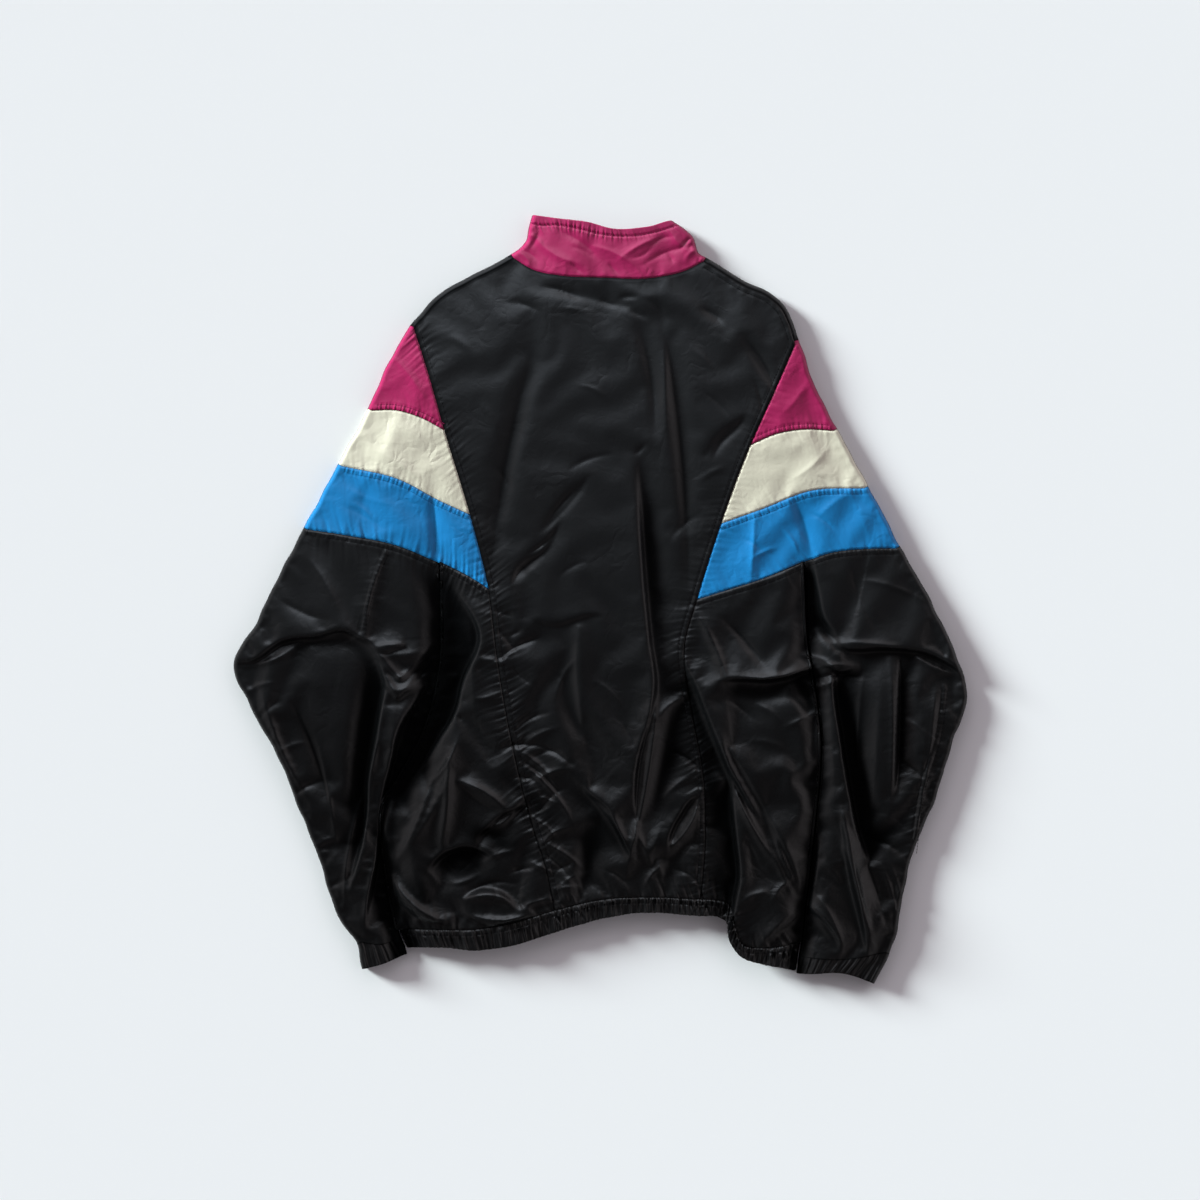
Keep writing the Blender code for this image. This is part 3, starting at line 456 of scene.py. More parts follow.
# Laps: the cloth on the left of the line, seen from its start, stands up and falls away over its run;
# the cloth on the right drops into a pocket
Lap = namedtuple("Lap", "points rise run drop pocket")
LAPS = table(Lap,
    (((-378, -62), (-344, -60), (-317, -42), (-283, -37), (-255, -32), (-240, -38),
      (-222, -50)), 4.5, 34, 4.0, 22),
    (((-234, -34), (-224, -55), (-216, -82), (-222, -120), (-231, -170), (-236, -230),
      (-256, -305)), 3.5, 14, 6.5, 17),
    (((-236, -335), (-232, -310), (-222, -257), (-217, -203), (-207, -160), (-199, -128), (-180, -98),
      (-165, -70), (-159, -40), (-158, 0)), 4.0, 15, 8.0, 22),
    (((-150, 20), (-121, -40), (-138, -80), (-146, -112), (-167, -145), (-185, -173), (-202, -197),
      (-219, -207)), 2.5, 40, 6.0, 24),
    (((-218, -205), (-214, -240), (-208, -273), (-202, -300), (-200, -340)), 2.0, 26, 5.0, 14),
    (((-226, -46), (-214, -52), (-200, -47), (-190, -45)), 2.0, 12, 3.0, 9),
    (((-216, -66), (-205, -74), (-199, -80), (-190, -72), (-170, -48), (-162, -36)), 2.4, 9, 2.6, 7),
    (((-218, -84), (-207, -92), (-202, -98), (-192, -88), (-175, -68), (-166, -60)), 2.0, 9, 2.6, 7),
    (((-70, -300), (-78, -306), (-101, -290), (-121, -289), (-140, -299)), 3.0, 16, 4.0, 9),
    (((-126, -240), (-113, -228), (-97, -214), (-81, -206), (-70, -196)), 3.0, 18, 5.0, 20),
    (((-175, -276), (-156, -254), (-136, -247), (-112, -254), (-100, -262)), 2.4, 26, 5.0, 20),
    (((-216, -270), (-200, -300), (-178, -317), (-154, -321), (-138, -316)), 2.4, 10, 2.6, 8),
    (((-142, -308), (-112, -324), (-85, -319), (-58, -308)), 2.0, 8, 2.2, 6),
    (((-142, -178), (-128, -192), (-112, -204), (-92, -210)), 1.2, 20, 1.8, 10),
    (((-20, -180), (-12, -192), (4, -205), (17, -229), (25, -247), (32, -258)), 2.6, 16, 4.5, 18),
    (((24, -272), (32, -250), (36, -227), (35, -205), (36, -172), (41, -146), (48, -122), (55, -84),
      (50, -40), (44, 20), (40, 80), (36, 150)), 3.0, 30, 4.0, 17),
    (((66, -254), (71, -231), (80, -214), (89, -201), (103, -190)), 2.6, 12, 4.0, 13),
    (((-62, 66), (-50, 78), (-36, 92), (-26, 104), (-12, 124)), 0.8, 22, 1.2, 9),
    (((-90, 14), (-82, 28), (-72, 36), (-56, 50), (-38, 82)), 0.9, 22, 1.6, 9),
    (((-72, -18), (-44, -25), (-26, -20), (-8, -15), (8, -17)), 1.0, 20, 1.5, 8),
    (((108, 138), (118, 158), (132, 171), (146, 186)), 1.4, 16, 1.8, 9),
    (((78, -50), (90, -77), (99, -100), (112, -133), (128, -168), (141, -192),
      (160, -222)), 3.6, 40, 7.5, 26),
    (((129, -176), (131, -214), (134, -240), (137, -277), (133, -300), (130, -330)), 3.6, 34, 8.0, 24),
    (((112, -82), (121, -80), (142, -79), (167, -80), (183, -78), (200, -72),
      (216, -64)), 3.6, 22, 7.5, 24),
    (((120, -136), (156, -196), (169, -221), (180, -270)), 1.6, 22, 2.0, 9),
    (((164, -212), (172, -227), (185, -253), (193, -273), (200, -296)), 2.6, 20, 3.6, 12),
    (((222, -38), (245, -49), (282, -49), (306, -50), (335, -58), (362, -76),
      (378, -90)), 4.5, 34, 5.0, 24),
    (((276, -282), (268, -262), (258, -234), (248, -187), (238, -125), (233, -90),
      (234, -55)), 2.6, 24, 9.5, 21),
    (((293, -200), (296, -152), (298, -105), (298, -56)), 2.4, 30, 3.4, 11),
    (((206, -50), (204, -4), (201, 38)), 3.0, 18, 5.0, 8),
    (((209, 46), (215, 10), (222, -20), (238, -46)), 3.0, 22, 4.5, 8),
    (((236, -200), (244, -248), (250, -282), (260, -323), (268, -366)), 3.0, 14, 4.0, 12),
    (((200, -298), (207, -306), (220, -316), (233, -332), (242, -352)), 3.0, 14, 4.0, 12),
    (((203, -82), (212, -66), (222, -65), (240, -73), (256, -66)), 2.4, 12, 3.6, 12),
    (((158, -346), (172, -330), (187, -317), (200, -311)), 2.6, 12, 3.0, 10),
    (((218, -228), (214, -262), (210, -290), (203, -330)), 1.6, 20, 4.0, 12),
)

# Crisp creases pressed into the cloth: a line with a sideways bow, the width at its foot and its rise
Crease = namedtuple("Crease", "x0 y0 x1 y1 bow width rise")
CREASES = table(Crease,
    (-66, 250, -108, 30, -6, 12, -0.9), (-57, 72, -16, 118, 2, 6, -1.3), (-70, 47, -42, 74, -3, 5, -1.5),
    (-86, 20, -63, 43, 3, 5, -1.8), (-104, -11, -86, -16, 0, 6, -1.6), (-92, -37, -78, -29, 0, 6, -1.4),
    (40, 268, 54, 172, 5, 9, -0.9), (60, 288, 88, 18, 7, 10, -1.2), (66, 262, 67, 160, -2, 9, 0.7),
    (-55, 312, -20, 300, 2, 6, -1.5), (0, 299, 15, 292, 0, 5, -1.2), (20, 301, 36, 301, 1, 5, -1.2),
    (30, 288, 45, 281, 0, 5, -1.2), (105, 144, 140, 180, 3, 5, -1.3), (101, 289, 121, 276, 3, 5, -1.2),
    (143, 260, 174, 211, 4, 6, -1.4), (153, 219, 161, 185, 2, 5, -1.2), (35, 145, 45, 155, 0, 6, -1.2),
    (-31, 130, 10, 145, 3, 5, -0.8), (80, 350, 94, 364, 1, 4, -1.2), (88, 350, 96, 357, 1, 4, -0.8),
    (50, 352, 72, 362, 3, 6, -0.9), (30, 340, 52, 352, -3, 5, -0.6), (66, 346, 72, 336, 1, 5, -0.8),
    (-84, 350, -62, 338, 2, 5, -0.8), (-74, 366, -58, 352, 2, 5, 0.8), (-30, 352, -6, 340, 2, 5, -0.7),
    (-150, 262, -128, 246, 2, 5, 0.9), (-96, 296, -62, 288, 3, 5, -0.9), (-44, 290, -6, 284, 2, 5, 0.8),
    (44, 300, 66, 280, 3, 5, -0.9), (92, 250, 112, 226, 2, 5, 0.8), (104, 206, 128, 182, 2, 5, -0.8),
    (98, 118, 124, 132, 2, 5, 0.8), (70, 60, 96, 84, 3, 5, -0.8), (-118, 196, -104, 168, 2, 5, 0.8),
    (-104, 132, -88, 108, 2, 5, -0.8), (-22, 214, 6, 200, 3, 5, 0.6), (-40, 24, -16, 38, 2, 5, -0.7),
    (210, 86, 232, 70, 2, 4, -0.9), (150, 40, 176, 52, 2, 4, 0.9), (142, 62, 168, 44, 1, 4, -0.8),
    (182, 70, 196, 48, 2, 4, 0.9), (-246, 96, -226, 78, 2, 4, 0.8), (-22, -30, -17, -126, -4, 7, 0.9),
    (56, -83, 27, -262, 6, 8, 2.6), (-13, -192, 29, -253, 5, 7, 2.6), (36, -229, 49, -260, 0, 7, 1.8),
    (56, -260, 62, -275, 0, 6, 1.6), (99, -194, 68, -247, 6, 7, 2.6), (83, -59, 158, -216, -8, 7, 2.6),
    (120, -138, 178, -266, -9, 8, 3.0), (165, -215, 198, -290, -2, 7, 2.6),
    (167, -233, 193, -295, -3, 6, 2.0), (121, -80, 210, -68, -4, 8, 2.6),
    (123, -19, 162, -64, 2, 7, -1.8), (95, -12, 125, -78, 3, 7, 2.0), (203, -82, 240, -74, -7, 6, 1.8),
    (199, -55, 230, -64, 2, 6, 1.6), (218, -111, 205, -80, 0, 7, 2.2), (218, -111, 185, -126, 0, 7, 1.8),
    (218, -111, 214, -160, 0, 7, 1.8), (162, -343, 198, -313, 3, 7, 2.2),
    (-99, -57, -62, -38, 2, 6, -2.0), (-99, -148, -66, -144, 2, 6, -2.4),
    (-66, -144, -29, -163, 3, 6, -2.2), (-82, -150, -45, -183, 3, 5, 2.2),
    (-78, -160, -40, -196, 4, 5, -2.0), (-74, -167, -29, -220, 5, 6, 2.2),
    (-88, -176, -62, -180, 1, 5, -1.8), (-64, -196, -40, -204, 1, 5, 1.8),
    (-96, -222, -70, -200, -2, 5, -1.8), (-70, -216, -44, -236, 2, 5, 2.0),
    (-57, -241, -20, -265, 2, 5, 2.2), (-60, -250, -30, -276, 2, 5, -1.8),
    (-70, -262, -48, -272, 1, 5, 1.8), (-92, -272, -66, -266, 1, 5, -1.6),
    (-48, -290, -20, -286, 2, 5, 1.6), (-76, -304, -50, -298, 1, 5, 1.8), (206, -70, 253, -66, 3, 7, 3.0),
    (214, -78, 256, -76, 3, 8, -3.0), (-145, -145, -168, -181, 3, 7, 2.4),
    (-168, -181, -201, -256, 3, 8, 2.8), (-151, -158, -158, -242, 3, 7, 2.0),
    (-140, -181, -95, -208, 5, 7, 2.2), (-114, -228, -82, -206, -4, 6, 2.4),
    (-136, -298, -76, -307, 9, 7, 2.2), (-133, -294, -80, -284, 8, 7, -1.8),
    (-209, -273, -158, -319, -7, 8, 2.6), (-136, -312, -60, -310, -7, 7, 2.0),
    (-112, -229, -131, -262, 0, 8, -1.6), (-228, -43, -201, -78, 0, 8, 2.6),
    (-201, -78, -166, -58, 0, 8, 2.4), (-222, -60, -202, -97, 0, 7, 2.2),
    (-202, -97, -170, -72, 0, 7, 2.2), (-222, -47, -196, -46, 2, 6, 1.8),
    (-216, -90, -236, -194, 4, 8, 2.4), (-198, -115, -222, -257, 5, 8, 2.4),
    (-236, -194, -255, -300, -5, 7, 2.2), (-222, -257, -234, -324, -3, 7, 1.8),
    (-360, -66, -300, -43, -6, 8, 2.2), (-300, -43, -246, -36, 3, 8, 2.0),
    (-252, -42, -228, -42, 4, 6, 1.4), (-308, -100, -270, -205, 4, 9, -1.8),
    (-336, -92, -292, -196, -5, 9, 1.8), (-282, -140, -262, -250, 2, 8, 1.5),
    (-215, 46, -234, -30, -4, 8, 1.8), (-290, 40, -262, -10, 3, 9, 1.4),
    (-318, 0, -270, -20, -3, 8, -1.3), (238, -90, 266, -258, 3, 9, -2.6),
    (262, -72, 256, -200, -3, 8, 2.0), (289, -70, 288, -204, 2, 8, 2.0),
    (299, -62, 297, -186, 1, 7, -2.4), (334, -88, 327, -160, 0, 6, 1.8),
    (327, -160, 309, -257, 0, 6, 1.6), (238, -233, 270, -340, 2, 7, 2.4),
    (240, -207, 266, -357, 2, 7, 2.2), (251, -231, 283, -318, 3, 7, -2.2),
    (207, -308, 239, -348, 6, 7, 2.4), (215, -295, 240, -340, 3, 6, 1.6),
    (280, -265, 296, -330, 3, 5, 1.8), (288, -262, 302, -326, 3, 5, 1.6),
    (215, -18, 236, -43, 3, 7, -2.0), (207, 5, 207, -43, 0, 8, -2.2), (234, -43, 306, -50, 3, 8, 2.2),
    (306, -50, 360, -76, -4, 8, 2.2), (262, 20, 320, 0, 3, 9, 1.2), (250, 30, 275, -30, -3, 9, -1.2),
    (-62, 356, -22, 334, -3, 9, 1.5), (-38, 366, -2, 340, 3, 9, -1.4), (-8, 352, 34, 332, 3, 8, 1.2),
    (18, 338, 62, 362, 3, 9, 1.3), (44, 334, 92, 352, 4, 8, -1.3), (70, 366, 92, 346, -3, 7, 1.2),
    (-84, 348, -70, 334, 2, 6, 1.0), (-62, 374, -70, 350, 3, 7, -1.0), (84, 338, 98, 350, 2, 5, 1.0),
    (-30, 336, -18, 325, 0, 5, -0.9), (8, 335, 18, 324, 0, 5, -0.9), (-104, -30, -84, -52, 2, 5, -1.3),
    (-98, -62, -76, -46, 2, 5, 1.2), (-88, -66, -66, -84, -2, 5, -1.2), (-118, -60, -92, -66, 2, 5, 1.1),
    (-126, -98, -96, -92, -2, 5, 1.1), (-84, -128, -52, -112, 3, 5, -1.5),
    (-78, -146, -44, -128, 3, 5, 1.4), (-74, -160, -40, -150, 3, 6, -1.6),
    (-66, -182, -30, -168, 4, 6, 1.5), (-62, -214, -38, -188, 3, 6, -1.5),
    (-56, -240, -30, -226, 3, 5, 1.4), (-52, -268, -24, -258, -3, 6, -1.4),
    (-118, -262, -84, -250, 3, 6, 1.4), (-150, -282, -120, -272, -3, 6, 1.3),
    (-182, -262, -160, -288, 3, 6, 1.2), (-40, -284, -12, -272, 3, 5, 1.2),
    (2, -268, 28, -284, 3, 5, -1.2), (44, -284, 66, -262, 3, 5, 1.3), (74, -268, 98, -282, 3, 5, -1.3),
    (70, -150, 98, -168, 3, 6, -1.4), (58, -118, 84, -96, 3, 6, 1.2), (64, -196, 92, -176, 3, 6, 1.4),
    (20, -120, 38, -160, 3, 6, -1.1), (-6, -80, 22, -108, 3, 6, 1.0), (-44, -96, -26, -60, 3, 6, 1.0),
    (144, -236, 160, -262, 2, 5, 1.2), (150, -262, 172, -284, 2, 5, -1.2),
    (140, -300, 166, -290, 2, 5, 1.3), (170, -300, 188, -278, 2, 5, 1.2),
    (128, -100, 150, -118, 2, 6, -1.3), (156, -104, 178, -120, 2, 6, 1.2),
    (188, -96, 206, -116, 2, 5, -1.2), (150, -140, 186, -150, 3, 7, 1.0),
    (-352, -92, -326, -82, 2, 6, 1.2), (-340, -118, -318, -100, 2, 6, -1.1),
    (-322, -154, -296, -142, 2, 6, 1.0), (-306, -196, -276, -180, 3, 6, -1.1),
    (-286, -248, -262, -236, 2, 6, 1.1), (-274, -292, -250, -276, 2, 6, -1.1),
    (304, -120, 324, -136, 2, 5, 1.2), (298, -160, 320, -176, 2, 5, -1.2),
    (276, -214, 304, -232, 3, 6, 1.2), (270, -240, 300, -252, 3, 6, -1.2),
    (222, -262, 240, -284, 2, 5, 1.1), (-168, 106, -164, 46, 2, 5, -0.9), (194, 98, 210, 46, 2, 5, -0.9),
    (154, 84, 150, 20, 0, 4, 0.5), (-228, 150, -180, 120, 3, 8, 0.6), (-250, 110, -205, 95, -3, 8, 0.6),
    (-262, 95, -215, 70, 3, 8, -0.6), (205, 215, 180, 185, 2, 8, 0.5), (225, 150, 190, 120, 3, 8, 0.6),
    (255, 110, 215, 80, -3, 8, 0.6), (-205, 240, -175, 200, 2, 8, 0.6),
)

EDGE_HEIGHT = 12.0
FULL_RISE = 3.0
RISE_RUN = 60.0
LOWEST_TOP = 6.5
CREVICE_DEPTH = {"left": 8.0, "right": 6.5}
CREVICE_WIDTH = {"left": 19.0, "right": 13.0}
CREVICE_START = -20.0
CREVICE_RUN = 60.0
FADE_BEYOND = 0.2
FADE_RUN = 0.6
FOLD_BOX = 3.4
GENTLE_FLANK = 0.85
STEEP_FLANK = 0.42
CREST_ROUND = 0.03
CREST_SHARP = 1.25
CREASE_BOX = 30.0
CREASE_ROUND = 1.2
CREASE_FALL = 0.3
LAP_EDGE = 2.0
LAP_BOX = 4.5
LAP_ENDS = 0.25
WRINKLES_ABOVE = 0.35
WRINKLES_BELOW = 0.45
wrinkle_field = None
finished_seams = []


def beside(fold, plan):
    """Share along a fold's bowed line, and signed distance from it, positive on its left."""
    start = np.array([fold.x0, fold.y0])
    span = np.array([fold.x1, fold.y1]) - start
    length = np.linalg.norm(span)
    along = span / length
    left = np.array([-along[1], along[0]])
    place = (plan - start) @ along / length
    bowed = fold.bow * (1 - (2 * np.clip(place, 0, 1) - 1) ** 2)
    return place, (plan - start) @ left - bowed


def smooth(t):
    """Eased step from 0 to 1."""
    t = np.clip(t, 0, 1)
    return t * t * (3 - 2 * t)


def fade(place):
    """Slow fade of a fold towards both ends, from a little beyond them."""
    return smooth((place + FADE_BEYOND) / FADE_RUN) * smooth((1 + FADE_BEYOND - place) / FADE_RUN)


def near(plan, points, margin):
    """Mask of the plan points inside the box round some points, widened by a margin."""
    low, high = np.min(points, axis=0) - margin, np.max(points, axis=0) + margin
    return np.all((plan > low) & (plan < high), axis=-1)


def along_line(points, plan):
    """Length along a polyline and signed distance from it, positive on its left, for each plan point."""
    lengths = lengths_along(points)
    best = np.full(len(plan), np.inf)
    place = np.zeros(len(plan))
    side = np.zeros(len(plan))
    for a, b, start in zip(points[:-1], points[1:], lengths[:-1]):
        span = b - a
        size = max(span @ span, 1e-9)
        t = np.clip((plan - a) @ span / size, 0, 1)
        off = plan - a - t[:, None] * span
        distance = np.hypot(off[:, 0], off[:, 1])
        closer = distance < best
        best = np.where(closer, distance, best)
        place = np.where(closer, start + t * np.sqrt(size), place)
        side = np.where(closer, np.sign(span[0] * off[:, 1] - span[1] * off[:, 0]), side)
    return place, best * side


def to_edge(plan):
    """Distance from each plan point to the nearer side of the outline."""
    return np.minimum(*(np.abs(along_line(EDGES[side].points[::8], plan)[1]) for side in SIDES))


def general_level(edge):
    """Height of the cloth without its folds: lower at the sides, with a soft rise inwards."""
    return EDGE_HEIGHT + FULL_RISE * smooth(edge / RISE_RUN)


def height(plan):
    """Top of the cloth: its general level, folds, overlaps, crevices, creases and seam puckers."""
    shape = plan.shape[:-1]
    plan = plan.reshape(-1, 2)
    z = general_level(to_edge(plan))
    for fold in BACK_FOLDS + SIDE_FOLDS + SLEEVE_FOLDS + BAND_FOLDS:
        mask = near(plan, [(fold.x0, fold.y0), (fold.x1, fold.y1)], FOLD_BOX * fold.width + abs(fold.bow))
        place, aside = beside(fold, plan[mask])
        outside = aside * np.sign(fold.bow + 0.1) > 0
        across = np.abs(aside) / (fold.width * np.where(outside, GENTLE_FLANK, STEEP_FLANK))
        ridge = np.exp(-CREST_SHARP * (np.sqrt(across**2 + CREST_ROUND) - 0.17))
        z[mask] += fold.rise * fade(place) * (ridge if fold.rise > 0 else np.exp(-across**2))
    for crease in CREASES:
        mask = near(plan, [(crease.x0, crease.y0), (crease.x1, crease.y1)], CREASE_BOX + abs(crease.bow))
        place, aside = beside(crease, plan[mask])
        tent = (np.sqrt(aside**2 + CREASE_ROUND**2) - CREASE_ROUND) / (CREASE_FALL * crease.width)
        z[mask] += crease.rise * fade(place) * np.exp(-tent)
    for lap in LAPS:
        line = through(lap.points, np.linspace(0, 1, 5 * len(lap.points)))
        mask = near(plan, line, LAP_BOX * max(lap.run, lap.pocket))
        place, aside = along_line(line, plan[mask])
        share = place / np.linalg.norm(np.diff(line, axis=0), axis=1).sum()
        upper = 0.5 + 0.5 * np.tanh(aside / LAP_EDGE)
        rise = lap.rise * upper * np.exp(-np.maximum(aside, 0) / lap.run)
        drop = lap.drop * (1 - upper) * np.exp(-np.maximum(-aside, 0) / lap.pocket)
        z[mask] += (rise - drop) * smooth(share / LAP_ENDS) * smooth((1 - share) / LAP_ENDS)
    for side, crevice in CREVICES.items():
        place, away = along_line(crevice.points[::6], plan)
        begun = smooth((place - CREVICE_START) / CREVICE_RUN)
        z -= CREVICE_DEPTH[side] * begun * np.exp(-((away / CREVICE_WIDTH[side]) ** 2))
    z = LOWEST_TOP + np.logaddexp(0, z - LOWEST_TOP)
    if wrinkle_field:
        lower = smooth((40 - plan[:, 1]) / 160)
        z += sampled(wrinkle_field, plan) * (WRINKLES_ABOVE + WRINKLES_BELOW * lower)
    for seam in finished_seams:
        z += seam_relief(seam, plan)
    return z.reshape(shape)


# A seam: its line, the side its pressed strip lies on (1 is its left, 0 neither), how high its puckers
# stand, how far apart they are and how far they reach, the seed of their waves and the colour of its
# thread
Seam = namedtuple("Seam", "points strip pucker pitch reach seed thread")
STRIP_WIDTH = 5.5
STRIP_HEIGHT = 0.34
STRIP_PUCKER = 0.34
STRIP_PITCH = 4.6
STRIP_FALL = 5.0
STITCH_DIP = 0.45
DIP_WIDTH = 0.9
GROOVE_DEPTH = 0.85
GROOVE_WIDTH = 1.0
SWELL_LENGTHS = (31.0, 57.0)


def seam_relief(seam, plan):
    """Relief of a topstitched seam.

    The pressed allowance raises a strip on one side of the seam, which ends in the dip of the
    stitching. The strip is gathered into short puckers, and longer ones run out from it into both
    pieces and fade.
    """
    relief = np.zeros(len(plan))
    mask = near(plan, seam.points, 4 * seam.reach)
    place, aside = along_line(seam.points, plan[mask])
    stitched = abs(seam.strip)
    into = aside * seam.strip
    away = np.abs(aside)
    short_swell = np.sin(place / SWELL_LENGTHS[0] + 2.0 * seam.seed)
    swell = 0.55 + 0.45 * short_swell * np.sin(place / SWELL_LENGTHS[1] + seam.seed)
    beyond = np.maximum(away - STRIP_WIDTH * (into > 0), 0)
    rise = stitched * smooth((into + 0.5) / 1.0)
    strip = STRIP_HEIGHT * rise * np.exp(-beyond / STRIP_FALL)
    dip = stitched * STITCH_DIP * np.exp(-(((into - STRIP_WIDTH) / DIP_WIDTH) ** 2))
    groove = GROOVE_DEPTH * np.exp(-((away / GROOVE_WIDTH) ** 2))
    short = STRIP_PUCKER * wobble(place, STRIP_PITCH, seam.seed) * rise
    short = short * smooth((STRIP_WIDTH + 1.2 - into) / 2.0)
    lean = place + 0.3 * aside + 2.0 * np.sin(aside / 9.0 + place / 23.0)
    lower = 0.7 + 0.7 * smooth((-60 - plan[mask, 1]) / 120)
    waves = wobble(lean, seam.pitch, seam.seed + 5)
    far = seam.pucker * lower * swell * waves * np.exp(-beyond / seam.reach)
    relief[mask] = strip - dip - groove + short + far * smooth(beyond / 3.0 + 0.35)
    return relief


EVENLY = np.linspace(0, 1, 30)
SEAMS = [
    Seam(PRINCESS["left"].points[::5], 1, 0.95, 6.5, 10.0, 1, "black"),
    Seam(PRINCESS["right"].points[::5], -1, 0.8, 6.5, 9.0, 2, "black"),
    Seam(through([(-215.5, 50), (-228, 17), (-235, -8), (-239.5, -33)], EVENLY),
         1, 0.4, 8.0, 7.0, 15, "black"),
    Seam(through([(340.5, -88), (332.5, -140), (320, -178), (308.5, -257)], EVENLY),
         1, 0.5, 8.0, 8.0, 16, "black"),
    Seam(through([(298.5, -61), (298.5, -105), (296.5, -152), (294.5, -185)], EVENLY),
         0, 0.4, 9.0, 7.0, 17, "black"),
    Seam(edge_fold("right", "neck", "apex", EVENLY)[2], -1, 0.3, 11.0, 7.0, 18, "black"),
]
BODY_PART = 0.42


def band_seam(side, mark, at_body, at_sleeve):
    """A band's lower seam, from princess seam to side fold. The blue one passes the underarm point."""
    above = {"magenta end": "apex", "white end": "magenta end", "blue end": "white end"}[mark]
    inner_end = PRINCESS[side].between(above, mark, np.array([1.0]))[0]
    outer_end = edge_fold(side, above, mark, np.array([1.0]))[2][0]
    if mark == "blue end":
        return np.vstack([body_seam(side, 1 - at_body), sleeve_seam(side, at_sleeve)[1:]])
    at = np.concatenate([BODY_PART * at_body, BODY_PART + (1 - BODY_PART) * at_sleeve[1:]])
    return through([inner_end, *BAND_SEAMS[side, mark], outer_end], at)


for side, down in (("left", 1), ("right", -1)):
    for mark, strip, pucker, reach, colour in (("magenta end", -down, 0.4, 7.0, "magenta"),
                                               ("white end", down, 0.45, 7.0, "blue"),
                                               ("blue end", down, 0.9, 11.0, "black")):
        line = band_seam(side, mark, EVENLY, EVENLY)
        SEAMS.append(Seam(line, strip, pucker, 8.0, reach, len(SEAMS) + 3, colour))
SEAMS.append(Seam(neck_line(EVENLY), 0, 0.35, 12.0, 8.0, 12, ""))
TUNNEL_LINE = ((-72, 378), (-69.5, 376), (-40.5, 373), (-20.5, 369), (-0.5, 364), (19.5, 362),
               (45.5, 364), (60.5, 368), (70.5, 371), (80, 375))
SEAMS.append(Seam(through(TUNNEL_LINE, EVENLY), 0, 1.7, 4.4, 3.0, 19, "magenta"))
hem_seam = np.vstack([run[1:] for run in hem_line("top", EVENLY, EVENLY)])
SEAMS.append(Seam(hem_seam, -1, 1.0, 8.0, 14.0, 13, "black"))


CLOTH_PITCH = 4.5
CLOTH_UNIT = 0.01
CLOTH_FRAMES = 30
DRAWING_FRAMES = 16
GROWTH_X = (0.016, 0.034)
GROWTH_Y = (0.010, 0.018)
LOOSE_HOLD = 0.2
SEAM_HOLD = 0.4
HOLD_LEVELS = 40
RIPPLE_HEIGHT = 0.5
CLOTH_SETTINGS = {
    "quality": 5, "mass": 0.3, "air_damping": 2.0, "tension_stiffness": 20, "shear_stiffness": 10,
    "compression_stiffness": 20, "bending_stiffness": 4.0, "tension_damping": 10, "compression_damping": 10,
    "shear_damping": 10, "vertex_group_mass": "held", "pin_stiffness": 1.0,
}


def placed(name, data):
    """New object in the scene, at the origin."""
    thing = bpy.data.objects.new(name, data)
    bpy.context.scene.collection.objects.link(thing)
    return thing


def corners_of_cells(number):
    """Four corner numbers of each cell of a grid of numbered points."""
    corners = [number[:-1, :-1], number[:-1, 1:], number[1:, 1:], number[1:, :-1]]
    return np.stack(corners, axis=-1).reshape(-1, 4)


def inside_of(points, ring):
    """Even-odd test of which points lie inside a closed ring."""
    hit = np.zeros(len(points), dtype=bool)
    x, y = points.T
    for (ax, ay), (bx, by) in zip(ring, np.roll(ring, -1, axis=0)):
        if ay != by:
            hit ^= ((ay > y) != (by > y)) & (x < ax + (bx - ax) * (y - ay) / (by - ay))
    return hit


